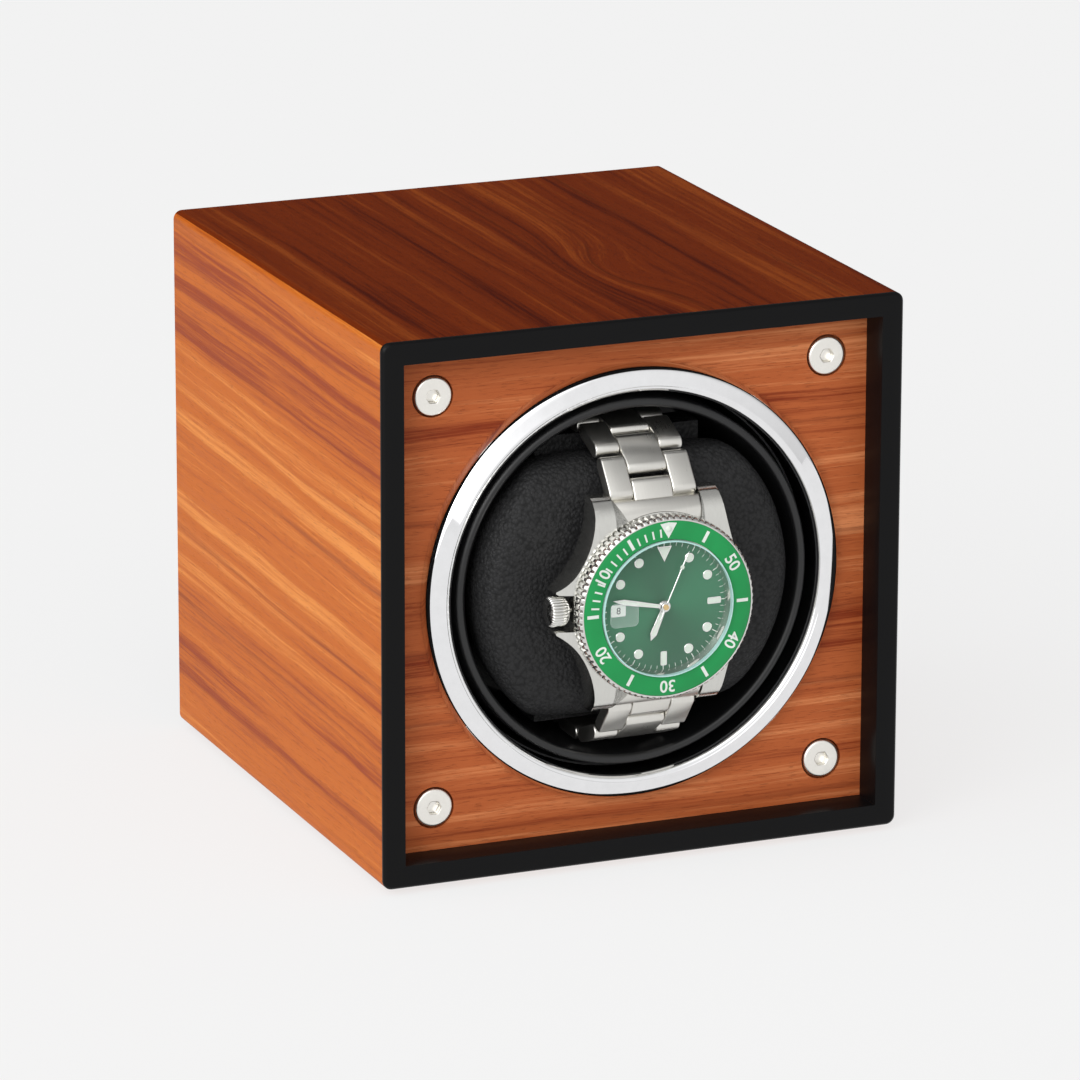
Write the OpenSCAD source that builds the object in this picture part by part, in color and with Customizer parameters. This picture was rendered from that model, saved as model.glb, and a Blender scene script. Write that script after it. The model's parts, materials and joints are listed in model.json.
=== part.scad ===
// Watch winder box: a veneered cube whose front holds a chrome ring, a geared rotor cup and a
// pillow with a wristwatch on it. Depths are measured backwards from the front plane, and radii
// from the rotor's axis, which runs front to back through the middle of the cabinet.

/* [Cabinet] */
// Width of the box
box_w = 120; // [116:0.5:126]
// Height of the box without its feet
box_h = 120; // [116:0.5:126]
// Depth of the box without the watch and the knob
box_d = 129; // [127:0.5:140]
// Thickness of the veneered panels
wall = 4; // [3:0.5:4]
// Radius of the long outer edges
edge_r = 2; // [1:0.25:3]
// Height of the rubber feet
foot_h = 1.5; // [1:0.25:3]
// Diameter of the rubber feet
foot_dia = 12; // [8:0.5:14]

/* [Front] */
// Width of the black band around the front
band_w = 5; // [4.5:0.25:6]
// Thickness of the band
band_t = 1.2; // [0.8:0.1:2]
// Chamfer around the band's outer edge
band_chamfer = 0.6; // [0.3:0.1:0.7]
// Depth of the front panel's face behind the front plane
recess = 8; // [7.5:0.25:8.5]
// Thickness of the front panel
panel_t = 5; // [4.5:0.25:5]
// Distance of the corner screws from the rotor's axis, across and up
screw_at = 45.5; // [45:0.25:46]
// Outer radius of the chrome ring
ring_r = 48.4; // [47:0.1:49]
// Radius of the chrome ring's bore
ring_bore = 42.5; // [42.4:0.1:42.8]

/* [Rotor] */
// Outer radius of the cup
cup_r = 40.8; // [40.5:0.1:41]
// Thickness of the cup's wall
cup_wall = 2.2; // [2:0.1:2.4]
// Depth of the cup's rim
cup_rim = 6.5; // [6:0.25:8]
// Radius of the rotor shaft
shaft_r = 3; // [2.5:0.25:3.5]
// Teeth of the driven gear
gear_teeth = 48; // [48:1:48]
// Teeth of the pinion
pinion_teeth = 12; // [12:1:12]

/* [Pillow] */
// Radius of the leather disc
pillow_r = 37.8; // [37:0.1:38]
// Half of the pillow's height between its flat top and bottom
pillow_half = 31.8; // [31:0.1:31.8]
// Half of the width of the pillow's core
core_half = 19; // [18.5:0.1:19]

/* [Watch] */
// Radius of the bezel
bezel_r = 20.25; // [20:0.05:20.5]
// Width of the bracelet
bracelet_w = 20; // [19:0.5:20]
// Thickness of the bracelet
link_t = 3.2; // [3:0.1:3.2]
// Length of one row of links along the bracelet
link_pitch = 11; // [11:0.5:11]
// How far the watch hangs below the rotor's axis
watch_drop = 0.6; // [0:0.1:0.6]

/* [Hidden] */
$fn = 64;
SLACK = 0.02;              // radial slack of a screw or a pin in its own hole
RUN = 0.05;                // radial running clearance of a turning shaft
inner_w = box_w - 2 * wall;
inner_h = box_h - 2 * wall;
axis_z = foot_h + box_h / 2;
panel_back = recess + panel_t;
panel_gap = 0.2;           // all round the front panel and the rear cover

crystal_front = -13;       // depth of the crystal's outer face
lens_t = 0.7;              // height of the date lens on the crystal
knob_proud = 5;            // reach of the mode knob behind the box
front_y = -(box_d + knob_proud + crystal_front - lens_t) / 2;

housing_r = 42.3;          // inside of the fixed rotor housing
housing_wall = 2;
housing_back = 54.5;
housing_floor = 51.5;
flange_r = 53;
flange_screw_r = 49;
boss_back = 66;

post = 16;                 // width of the corner posts
post_in = inner_w / 2 - post;
cover_t = 4;
cover_back = box_d - 1.5;
cover_front = cover_back - cover_t;

cup_in = cup_r - cup_wall;
cup_floor = 46;
cup_back = 48.5;
hub_back = 50.5;
peg_x = 16;                // pegs and sockets, left and right of the axis
peg_r = 3;

gear_module = 1;
centre_distance = gear_module * (gear_teeth + pinion_teeth) / 2;
gear_front = 69;
gear_back = 75;
motor_v = -centre_distance;
plate_front = 79.5;
plate_back = 82;
plate_half = 34;
standoff_at = 28;
motor_screw_x = 8.5;
motor_shaft_r = 2;

board_front = 112;
board_back = 113.6;
control_v = 28;            // height of the controls above the axis
jack_x = -28;
button_x = -8;
led_x = 6;
knob_x = 24;

case_r = 20;
case_front = -8.5;
case_back = -1.5;
neck_r = 16.3;             // the case's neck inside the bezel
neck_in = 15.5;
lug_in = bracelet_w / 2 + 0.2;
lug_out = 14.4;
lug_tip = 23.5;
dial_front = -9.8;
stem_depth = -5;
bezel_front = -12;

curve_front_r = 21.7;      // the bracelet's bend over the pillow's front edge
curve_front_deg = 66;
curve_back_r = 20;
band_top = 34.4;           // height of the bracelet's middle line above the watch's centre
bend_depth = 16.6;
bend_back = 22;
link_reach = 0.75;         // how far a link's round end lies beyond its pin
centre_w = 8.9;
outer_in = centre_w / 2 + 0.1;
pin_half = link_pitch / 2;
first_pin = 2.85;
last_pin = 10;
pin_r = 0.5;

WOOD = [0.62, 0.29, 0.15];
BLACK = [0.08, 0.08, 0.085];
STEEL = [0.78, 0.77, 0.74];
CHROME = [0.9, 0.9, 0.92];
BRASS = [0.78, 0.62, 0.32];
GREEN = [0.04, 0.4, 0.2];
NYLON = [0.9, 0.9, 0.86];
LEATHER = [0.12, 0.12, 0.12];

// ---------- frames and simple solids ----------

// Face view: X across, Y up and Z towards the front, from the point where the axis meets the front
module on_axis() { translate([0, front_y, axis_z]) rotate([90, 0, 0]) children(); }
module on_watch() { on_axis() translate([0, -watch_drop, 0]) children(); }

// A flat outline in face view, extruded between two depths
module slab(d0, d1) { translate([0, 0, -d1]) linear_extrude(d1 - d0) children(); }

// A side outline of [depth, height] points, extruded between two places across
module across(x0, x1) { translate([x0, 0, 0]) rotate([0, 90, 0]) linear_extrude(x1 - x0) children(); }

// A solid of revolution from [radius, depth] points
module turned(points) { rotate_extrude() polygon([for (p = points) [p[0], -p[1]]]); }

module rod(r, d0, d1) { translate([0, 0, -d1]) cylinder(h = d1 - d0, r = r); }
module tube(r, r_in, d0, d1) { slab(d0, d1) difference() { circle(r); circle(r_in); } }
module block(w, h, d0, d1) { slab(d0, d1) square([w, h], center = true); }

module rounded(w, h, r) {
    square([w - 2 * r, h], center = true);
    square([w, h - 2 * r], center = true);
    at_corners(w / 2 - r, h / 2 - r) circle(r);
}
module at_corners(x, y) { for (sx = [-1, 1], sy = [-1, 1]) translate([sx * x, sy * y, 0]) children(); }
module both_sides(x) { for (sx = [-1, 1]) translate([sx * x, 0, 0]) children(); }
module mirrored(axis) { children(); mirror(axis) children(); }
module around(count, r, start = 0) {
    for (i = [0:count - 1]) rotate([0, 0, start + 360 * i / count]) translate([r, 0, 0]) children();
}

// Points along an arc, as [first coordinate, second coordinate]
function arc(c, r, a0, a1, steps = 6) =
    [for (i = [0:steps]) let (a = a0 + (a1 - a0) * i / steps) [c[0] + r * cos(a), c[1] + r * sin(a)]];
function flip(points) = [for (i = [len(points) - 1:-1:0]) [points[i][0], -points[i][1]]];

// A socket screw whose head bears at depth d; it points backwards (way 1) or forwards (way -1)
module screw(head_r, head_t, shank_r, length, d, way) {
    translate([0, 0, -d]) mirror([0, 0, way > 0 ? 0 : 1]) difference() {
        union() {
            cylinder(h = head_t, r = head_r);
            translate([0, 0, -length]) cylinder(h = length + head_t / 2, r = shank_r);
        }
        translate([0, 0, head_t / 2]) cylinder(h = head_t, r = head_r * 0.5, $fn = 6);
    }
}

// ---------- gears ----------

PRESSURE = 20;
BACKLASH = 0.16;
function inv_deg(a) = tan(a) * 180 / PI - a;
function flank_deg(r, base_r, half_deg) =
    half_deg + inv_deg(PRESSURE) - (r > base_r ? inv_deg(acos(base_r / r)) : 0);
function tooth(teeth, r_root, r_tip) =
    let (pitch_r = gear_module * teeth / 2,
         base_r = pitch_r * cos(PRESSURE),
         half_deg = 90 / teeth - BACKLASH / 2 / pitch_r * 180 / PI,
         low = max(base_r, r_root),
         radii = concat([r_root], [for (i = [0:4]) low + (r_tip - low) * i / 4]))
    concat([for (r = radii) [r, -flank_deg(r, base_r, half_deg)]],
           [for (i = [len(radii) - 1:-1:0]) [radii[i], flank_deg(radii[i], base_r, half_deg)]]);
module gear_outline(teeth, r_root, r_tip, start) {
    polygon([for (i = [0:teeth - 1], p = tooth(teeth, r_root, r_tip))
        let (a = start + 360 * i / teeth + p[1]) [p[0] * cos(a), p[0] * sin(a)]]);
}

// ---------- cabinet ----------

// One of four mitred panels, turned from the top one
module cabinet_panel(turn) {
    reach = box_w;
    on_axis() slab(band_t, box_d) intersection() {
        difference() {
            rounded(box_w, box_h, edge_r);
            square([inner_w, inner_h], center = true);
        }
        rotate([0, 0, turn]) polygon([[0, 0], [reach, reach], [-reach, reach]]);
    }
}
module top_panel() { color(WOOD) cabinet_panel(0); }
module left_panel() { color(WOOD) cabinet_panel(90); }
module bottom_panel() { color(WOOD) cabinet_panel(180); }
module right_panel() { color(WOOD) cabinet_panel(270); }

module front_frame() {
    opening_w = box_w - 2 * band_w;
    opening_h = box_h - 2 * band_w;
    edge = box_h / 2;
    cut = 2;
    color(BLACK) on_axis() difference() {
        union() {
            slab(0, band_t) rounded(box_w, box_h, edge_r);
            slab(0.1, recess) square([inner_w, inner_h], center = true);
        }
        slab(-1, recess + 1) square([opening_w, opening_h], center = true);
        for (turn = [0:90:270]) rotate([0, 0, turn]) across(-box_w, box_w)
            polygon([[-cut, edge - band_chamfer - cut], [band_chamfer + cut, edge + cut], [-cut, edge + cut]]);
    }
}

module front_panel() {
    color(WOOD) on_axis() difference() {
        block(inner_w - 2 * panel_gap, inner_h - 2 * panel_gap, recess, panel_back);
        rod(ring_bore + 1.6, recess - 1, panel_back + 1);
        at_corners(screw_at, screw_at) {
            rod(2.2, recess - 1, panel_back + 1);
            rod(4.65, recess - 1, recess + 2.2);
        }
        around(4, flange_screw_r) rod(1.45 + SLACK, recess + 1.5, panel_back + 1);
    }
}

module trim_ring() {
    swell = arc([ring_r - 8.35, recess + 6.96], 11.6, -44, -68, 6);
    color(CHROME) on_axis() turned(concat(
        [[ring_bore + 1.5, recess], [ring_r, recess]], swell,
        [[ring_bore + 0.5, 4.9], [ring_bore, 5.5], [ring_bore, panel_back - 0.4],
         [ring_bore + 1.5, panel_back - 0.4]]));
}

module panel_screws() {
    head_r = 4.25;
    proud = 0.4;
    color(STEEL) on_axis() at_corners(screw_at, screw_at) difference() {
        turned([[0, recess - proud], [head_r - 0.35, recess - proud], [head_r, recess - proud + 0.35],
                [head_r, recess + 2.2], [2, recess + 2.2], [2, panel_back + 9], [0, panel_back + 9]]);
        rod(1.6, recess - 1, recess + 1.2, $fn = 6);
    }
}

module corner_posts() {
    mid = post_in + post / 2;
    color(WOOD) on_axis() difference() {
        at_corners(mid, mid) block(post, post, panel_back, cover_front);
        at_corners(screw_at, screw_at) {
            rod(3 + SLACK, panel_back - 1, panel_back + 8);
            rod(2.2, panel_back - 1, panel_back + 10);
            rod(3 + SLACK, cover_front - 8, cover_front + 1);
            rod(2.2, cover_front - 10, cover_front + 1);
        }
    }
}

module threaded_inserts() {
    color(BRASS) on_axis() at_corners(screw_at, screw_at) {
        tube(3, 2 + SLACK, panel_back, panel_back + 8);
        tube(3, 2 + SLACK, cover_front - 8, cover_front);
    }
}

module rear_cover() {
    slot_w = 50;
    slot_h = 2.6;
    color(BLACK) on_axis() difference() {
        union() {
            block(inner_w - 2 * panel_gap, inner_h - 2 * panel_gap, cover_front, cover_back);
            board_bosses() { rod(3, board_back, cover_front + 0.1); rod(1.2, board_front - 0.8, cover_front); }
        }
        at_corners(screw_at, screw_at) rod(2.2, cover_front - 1, cover_back + 1);
        for (v = [-44:6:-20]) translate([0, v, 0]) slab(cover_front - 1, cover_back + 1)
            rounded(slot_w, slot_h, slot_h / 2 - 0.01);
        translate([0, control_v, 0]) {
            translate([jack_x, 0, 0]) rod(4, cover_front - 1, cover_back + 1);
            translate([button_x, 0, 0]) rod(4.3, cover_front - 1, cover_back + 1);
            translate([led_x, 0, 0]) rod(1.6, cover_front - 1, cover_back + 1);
            translate([knob_x, 0, 0]) rod(3.7, cover_front - 1, cover_back + 1);
        }
    }
}
module board_bosses() { translate([0, control_v, 0]) at_corners(33, 12) children(); }

module rear_cover_screws() {
    color(STEEL) on_axis() at_corners(screw_at, screw_at)
        screw(3.6, 2.2, 2, cover_t + 8.5, cover_back, -1);
}

module rubber_feet() {
    inset = 14;
    color(BLACK) translate([0, front_y + box_d / 2, 0]) at_corners(box_w / 2 - inset, box_d / 2 - inset)
        cylinder(h = foot_h, r = foot_dia / 2);
}

// ---------- fixed housing and drive ----------

module rotor_housing() {
    outer = housing_r + housing_wall;
    color(BLACK) on_axis() difference() {
        turned([[housing_r, panel_back], [flange_r, panel_back], [flange_r, panel_back + 2.5],
                [outer, panel_back + 2.5], [outer, housing_back], [8, housing_back], [8, boss_back],
                [5 + SLACK, boss_back], [5 + SLACK, housing_floor], [housing_r, housing_floor]]);
        around(4, flange_screw_r) rod(1.6, panel_back - 1, panel_back + 4);
        at_corners(standoff_at, standoff_at) rod(1.5 + SLACK, housing_floor + 0.5, housing_back + 1);
    }
}

module housing_screws() {
    color(STEEL) on_axis() around(4, flange_screw_r) screw(2.8, 1.8, 1.45, 5.5, panel_back + 2.5, -1);
}

module shaft_bushes() {
    color(BRASS) on_axis() {
        tube(5, shaft_r + RUN, housing_floor, housing_floor + 6);
        tube(5, shaft_r + RUN, boss_back - 6, boss_back);
    }
}

module thrust_washer() {
    color(NYLON) on_axis() tube(8, shaft_r + 0.1, hub_back + 0.05, housing_floor);
}

module motor_plate() {
    color(STEEL) on_axis() difference() {
        slab(plate_front, plate_back) rounded(2 * plate_half, 2 * plate_half, 4);
        at_corners(standoff_at, standoff_at) rod(1.6, plate_front - 1, plate_back + 1);
        translate([0, motor_v, 0]) {
            rod(5.2, plate_front - 1, plate_back + 1);
            both_sides(motor_screw_x) rod(1.6, plate_front - 1, plate_back + 1);
        }
    }
}

module plate_standoffs() {
    color(BRASS) on_axis() at_corners(standoff_at, standoff_at) difference() {
        union() {
            rod(3.5, housing_back, plate_front, $fn = 6);
            rod(1.5, housing_floor + 0.6, housing_back + 1);
        }
        rod(1.5 + SLACK, plate_front - 9, plate_front + 1);
    }
}

module drive_screws() {
    color(STEEL) on_axis() {
        at_corners(standoff_at, standoff_at) screw(2.8, 1.8, 1.5, 9.5, plate_back, -1);
        translate([0, motor_v, 0]) both_sides(motor_screw_x) screw(2.6, 1.6, 1.5, 6, plate_front, 1);
    }
}

module gearbox() {
    gearbox_back = 98;
    color(STEEL) on_axis() translate([0, motor_v, 0]) difference() {
        union() {
            rod(12.5, plate_back, gearbox_back);
            rod(5, plate_front, plate_back + 1);
        }
        rod(motor_shaft_r + RUN, plate_front - 1, plate_back + 8.5);
        both_sides(motor_screw_x) rod(1.5 + SLACK, plate_back - 1, plate_back + 5);
    }
}

module motor_can() {
    can_front = 98;
    can_back = 118;
    color(CHROME) on_axis() translate([0, motor_v, 0]) {
        turned([[0, can_front], [12, can_front], [12, can_back - 1], [11, can_back], [3, can_back],
                [3, can_back + 1.5], [0, can_back + 1.5]]);
        both_sides(6) rod(0.8, can_back - 0.5, can_back + 2);
    }
}

// ---------- control board and rear controls ----------

module control_board() {
    color([0.05, 0.32, 0.16]) on_axis() difference() {
        translate([0, control_v, 0]) block(76, 32, board_front, board_back);
        board_bosses() rod(1.25, board_front - 1, board_back + 1);
    }
}

module board_parts() {
    color(BLACK) on_axis() {
        translate([0, control_v - 11, 0]) block(16, 8, board_front - 8, board_front);
        translate([4, control_v + 5, 0]) block(12, 9, board_front - 1.6, board_front);
        translate([-22, control_v + 5, 0]) rod(4, board_front - 10, board_front);
        translate([22, control_v + 4, 0]) block(8, 6, board_front - 4, board_front);
    }
}

module dc_jack() {
    color(BLACK) on_axis() translate([jack_x, control_v, 0]) difference() {
        union() {
            block(10, 10, board_back, cover_front);
            rod(3.9, cover_front - 1, cover_back);
        }
        difference() {
            rod(2.75, cover_back - 9, cover_back + 1);
            rod(1, cover_back - 10, cover_back - 1);
        }
    }
}

module rotary_switch() {
    color(STEEL) on_axis() translate([knob_x, control_v, 0]) difference() {
        union() {
            block(14, 14, board_back, board_back + 7);
            rod(3.5, board_back + 6, cover_back + 0.4);
        }
        rod(2.5 + RUN, board_back + 5, cover_back + 1);
    }
}

module mode_knob() {
    knob_r = 8;
    knob_front = cover_back + 0.8;
    knob_back = box_d + knob_proud;
    color(BLACK) on_axis() translate([knob_x, control_v, 0]) difference() {
        union() {
            turned([[0, knob_front], [knob_r, knob_front], [knob_r, knob_back - 0.8],
                    [knob_r - 0.8, knob_back], [0, knob_back]]);
            rod(2.5, board_back + 5.5, knob_front + 1);
        }
        around(18, knob_r + 0.3) rod(0.7, knob_front - 1, knob_back + 1);
        translate([0, knob_r * 0.6, 0]) block(1, 4, knob_back - 0.5, knob_back + 1);
    }
}

module power_switch() {
    color(NYLON) on_axis() translate([button_x, control_v, 0]) difference() {
        block(9, 9, board_back, board_back + 4.9);
        rod(1.8, board_back + 1.9, board_back + 6);
    }
}

module power_button() {
    cap_back = cover_back + 1.1;
    color(STEEL) on_axis() translate([button_x, control_v, 0]) turned([
        [0, cap_back], [3.6, cap_back], [4, cap_back - 0.4], [4, cover_front - 0.3],
        [5.2, cover_front - 0.3], [5.2, cover_front - 1.6], [1.4, cover_front - 1.6],
        [1.4, board_back + 3.6], [0, board_back + 3.6]]);
}

module status_led() {
    color([0.3, 0.8, 0.4]) on_axis() translate([led_x, control_v, 0]) {
        rod(1.5, board_back, cover_back - 0.6);
        translate([0, 0, 0.6 - cover_back]) sphere(1.5);
    }
}

// A round lead through [depth, height] points at one place across, swept as one closed skin
module lead(x, route, r, sides = 8) {
    last = len(route) - 1;
    function heading(i) = let (run = route[min(i + 1, last)] - route[max(i - 1, 0)]) run / norm(run);
    rings = [for (i = [0:last], j = [0:sides - 1])
        let (way = heading(i), out = r * cos(360 * j / sides), side = r * sin(360 * j / sides))
        [x + out, route[i][1] + side * way[0], -route[i][0] + side * way[1]]];
    skin = [for (i = [0:last - 1], j = [0:sides - 1])
        let (a = i * sides, k = (j + 1) % sides) [a + j, a + k, a + sides + k, a + sides + j]];
    caps = [[for (j = [sides - 1:-1:0]) j], [for (j = [0:sides - 1]) last * sides + j]];
    polyhedron(rings, concat(skin, caps));
}
module motor_wires() {
    route = [[120.3, motor_v + 0.4], [121.2, -27], [121.8, -20], [121.4, -8], [118.6, 1], [112, 6.5],
             [108.4, 9.5], [108, control_v - 15.2]];
    color([0.6, 0.1, 0.1]) on_axis() both_sides(6) lead(0, route, 0.7);
}

// ---------- rotor ----------

module rotor_cup() {
    corner_r = 2;
    rim_r = cup_wall / 2;
    rim = arc([cup_in + rim_r, cup_rim + rim_r], rim_r, 180, 360, 8);
    color(BLACK) on_axis() difference() {
        union() {
            turned(concat(rim,
                arc([cup_r - corner_r, cup_back - corner_r], corner_r, 0, 90),
                [[9, cup_back], [9, hub_back], [shaft_r + SLACK, hub_back],
                 [shaft_r + SLACK, cup_floor + 1.5], [1.6, cup_floor + 1.5], [1.6, cup_floor]],
                arc([cup_in - corner_r, cup_floor - corner_r], corner_r, 90, 0)));
            both_sides(peg_x) rod(4.8, cup_floor - 6, cup_floor + 0.5);
        }
        both_sides(peg_x) rod(peg_r + 0.3, cup_floor - 7, cup_floor);
    }
}

module rotor_shaft() {
    color(STEEL) on_axis() difference() {
        rod(shaft_r, cup_floor + 1.5, gear_back + 2.5);
        rod(1.5, cup_floor, cup_floor + 10);
        slab(gear_back + 0.1, gear_back + 0.9) difference() { circle(shaft_r + 1); circle(shaft_r - 0.6); }
    }
}

module driven_gear() {
    pitch_r = gear_module * gear_teeth / 2;
    color(NYLON) on_axis() difference() {
        union() {
            slab(gear_front, gear_back)
                gear_outline(gear_teeth, pitch_r - 1.25 * gear_module, pitch_r + 0.7 * gear_module, -90);
            rod(7, boss_back + 0.6, gear_front + 1);
        }
        rod(shaft_r + 0.01, boss_back, gear_back + 1);
        around(6, 14, 30) rod(4, gear_front - 1, gear_back + 1);
    }
}

module retaining_clip() {
    color(STEEL) on_axis() slab(gear_back + 0.15, gear_back + 0.85) difference() {
        circle(shaft_r + 1.6);
        circle(shaft_r - 0.55);
        translate([0, -3]) square([2 * shaft_r - 1.4, 6], center = true);
    }
}

module cup_screw() {
    color(STEEL) on_axis() screw(2.8, 1.8, 1.5 - SLACK, 8, cup_floor, 1);
}

module pinion() {
    pitch_r = gear_module * pinion_teeth / 2;
    color(BRASS) on_axis() translate([0, motor_v, 0]) difference() {
        slab(gear_front, gear_back)
            gear_outline(pinion_teeth, pitch_r - 1.25 * gear_module, pitch_r + gear_module,
                         90 + 180 / pinion_teeth);
        rod(motor_shaft_r + 0.01, gear_front - 1, gear_back + 1);
    }
}

module motor_shaft() {
    color(STEEL) on_axis() translate([0, motor_v, 0]) rod(motor_shaft_r, gear_front - 0.5, plate_back + 6);
}

// ---------- pillow ----------

// Leather disc, rounded all round, with its top and bottom cut flat where the bracelet passes
module pillow_cover() {
    face = 1.2;
    shoulder = 4;
    back = 16;
    round_edge = 8;
    bend = 11;
    disc = concat([[0, face], [20, face]],
        arc([pillow_r - round_edge, shoulder + round_edge], round_edge, -90, 0, 8),
        [[pillow_r, back], [0, back]]);
    side = concat(arc([shoulder + bend, pillow_half - bend], bend, 90, 180, 8), [[0, 18]]);
    color(LEATHER) on_axis() intersection() {
        turned(disc);
        across(-pillow_r - 1, pillow_r + 1) polygon(concat([[back + 1, pillow_half]], side, flip(side),
            [[back + 1, -pillow_half]]));
    }
}

// Firm core behind the disc, rounded where the bracelet bends round it, with two pegs
module pillow_core() {
    front = 16;
    back = 39.7;
    bend = 18;
    side = arc([back - bend, pillow_half - bend], bend, 0, 90, 8);
    outline = concat(side, [[front, pillow_half], [front, -pillow_half]], flip(side));
    color(LEATHER) on_axis() {
        across(-core_half, core_half) polygon(outline);
        both_sides(peg_x) rod(peg_r, back - 1, cup_floor - 0.4);
    }
}

// ---------- watch ----------

module case_plan() {
    flank = [[lug_in, 0], [lug_in, lug_tip], [lug_out, lug_tip], [lug_out + 1.6, 15], [lug_out + 3.4, 9],
             [lug_out + 3.4, 0]];
    guard = [[-14, 13], [-17.6, 10], [-20.8, 7], [-23.8, 4.8], [-23.8, 4.1], [-18, 3.9]];
    circle(case_r);
    mirrored([0, 1]) {
        mirrored([1, 0]) polygon(flank);
        polygon(guard);
    }
}

module watch_case() {
    upper = [[case_front, 15], [case_front + 0.5, 18.5], [-6.6, 21.4], [-4.8, 23.1], [-3.2, lug_tip + 0.1],
             [-0.9, lug_tip + 0.1], [-0.6, 22.8], [case_back, 18.5]];
    color(STEEL) on_watch() difference() {
        union() {
            intersection() {
                slab(case_front, -0.5) case_plan();
                across(-30, 30) polygon(concat(upper, flip(upper)));
            }
            turned([[neck_in, -11.7], [neck_r, -11.7], [neck_r, case_front + 0.5], [neck_in, case_front + 0.5]]);
        }
        rod(neck_in, -11.7 - 1, 0);
        across(-case_r - 4, -10) translate([stem_depth, 0]) circle(0.75);
    }
}

module watch_caseback() {
    color(STEEL) on_watch() difference() {
        turned([[0, case_back + 0.6], [neck_in - 0.3, case_back + 0.6], [neck_in - 0.3, case_back],
                [17.4, case_back], [17.4, -0.2], [16.6, 0.6], [0, 0.6]]);
        around(6, 16.4) rod(0.9, 0, 1);
    }
}

module watch_movement() {
    body_r = neck_in - 0.2;
    color(BRASS) on_watch() difference() {
        union() {
            rod(body_r, dial_front + 0.4, -3.2);
            rod(0.6, -11.4, dial_front + 1);
            rod(0.8, -4, case_back + 0.1);
        }
        across(-body_r - 1, -8) translate([stem_depth, 0]) circle(0.7);
    }
}

module winding_weight() {
    weight_r = 14.2;
    color(STEEL) on_watch() slab(-2.7, case_back) difference() {
        union() {
            circle(2.2);
            difference() {
                circle(weight_r);
                translate([-weight_r - 1, 0]) square([2 * weight_r + 2, weight_r + 1]);
            }
        }
        circle(0.8 + RUN);
    }
}

module watch_dial() {
    color(GREEN) on_watch() tube(neck_in - 0.1, 0.9, dial_front, dial_front + 0.35);
}

module hour_markers() {
    marker_r = 11.6;
    top = dial_front - 0.35;
    color(NYLON) on_watch() {
        for (hour = [1, 2, 4, 5, 7, 8, 10, 11]) rotate([0, 0, -30 * hour]) translate([0, marker_r, 0])
            rod(0.95, top, dial_front);
        for (hour = [3, 6]) rotate([0, 0, -30 * hour]) translate([0, marker_r, 0])
            block(1.3, 3, top, dial_front);
        slab(top, dial_front) polygon([[-1.7, marker_r + 1.6], [1.7, marker_r + 1.6], [0, marker_r - 1.9]]);
    }
}

module watch_crystal() {
    color([0.85, 0.95, 0.95, 0.35]) on_watch() turned([
        [0, crystal_front], [neck_in - 0.7, crystal_front], [neck_in - 0.1, crystal_front + 0.5],
        [neck_in - 0.1, -11.6], [0, -11.6]]);
}

module date_lens() {
    color([0.85, 0.95, 0.95, 0.35]) on_watch() translate([-10.4, 0, 0])
        slab(crystal_front - lens_t, crystal_front) rounded(6.4, 5.4, 1.2);
}

module watch_bezel() {
    color(STEEL) on_watch() difference() {
        turned([[neck_r + 0.3, bezel_front - 0.1], [neck_r + 0.6, bezel_front - 0.1], [neck_r + 0.6, -11.4],
                [bezel_r - 0.95, -11.4], [bezel_r - 0.95, bezel_front], [bezel_r, bezel_front + 0.4],
                [bezel_r, case_front - 0.6], [bezel_r - 0.5, case_front - 0.3],
                [neck_r + 0.3, case_front - 0.3]]);
        around(60, bezel_r + 0.25) rod(0.6, bezel_front - 1, case_front);
    }
}

module bezel_insert() {
    color(GREEN) on_watch() tube(bezel_r - 0.97, neck_r + 0.62, bezel_front - 0.1, -11.42);
}

module hand(angle, reach, width, tail, d0, d1, boss) {
    color(STEEL) on_watch() rotate([0, 0, -angle]) slab(d0, d1) difference() {
        union() {
            circle(boss);
            polygon([[-width / 2, -tail], [width / 2, -tail], [width / 2, reach * 0.8], [0, reach],
                     [-width / 2, reach * 0.8]]);
        }
        circle(0.6 + RUN);
    }
}
module hour_hand() { hand(203.5, 8, 1.6, 0.6, -10.5, -10.35, 1.3); }
module minute_hand() { hand(282, 12.4, 1.3, 0.6, -10.85, -10.7, 1.2); }
module seconds_hand() { hand(24, 13, 0.35, 3, -11.15, -11.03, 0.95); }

// Children lie along -X, with Z outwards through the crown
module to_crown(x) { on_watch() translate([-x, 0, -stem_depth]) rotate([0, -90, 0]) children(); }

module crown_stem() {
    color(STEEL) to_crown(9.6) {
        cylinder(h = 13.6, r = 0.6);
    }
}

module watch_crown() {
    crown_r = 3.3;
    color(STEEL) to_crown(20.7) difference() {
        union() {
            cylinder(h = 4, r = crown_r);
            translate([0, 0, 4]) cylinder(h = 0.5, r1 = crown_r, r2 = crown_r - 0.5);
        }
        translate([0, 0, -1]) cylinder(h = 3.6, r = 0.6 + RUN);
        for (a = [0:20:340]) rotate([0, 0, a]) translate([crown_r + 0.3, 0, 0.5]) cylinder(h = 5, r = 0.5);
    }
}

// ---------- bracelet ----------

arc_front = curve_front_r * curve_front_deg * PI / 180;
arc_straight = bend_back - bend_depth;
arc_back = curve_back_r * PI / 2;
// [depth, height] of the bracelet's middle line at a length s from the end link
function band(s) =
    s < arc_front
    ? let (a = curve_front_deg - s / curve_front_r * 180 / PI)
        [bend_depth - curve_front_r * sin(a), band_top - curve_front_r + curve_front_r * cos(a)]
    : s < arc_front + arc_straight ? [bend_depth + s - arc_front, band_top]
    : let (a = min(90, (s - arc_front - arc_straight) / curve_back_r * 180 / PI))
        [bend_back + curve_back_r * sin(a), band_top - curve_back_r + curve_back_r * cos(a)];
function pin_at(k) = band(first_pin + pin_half * k);

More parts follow.
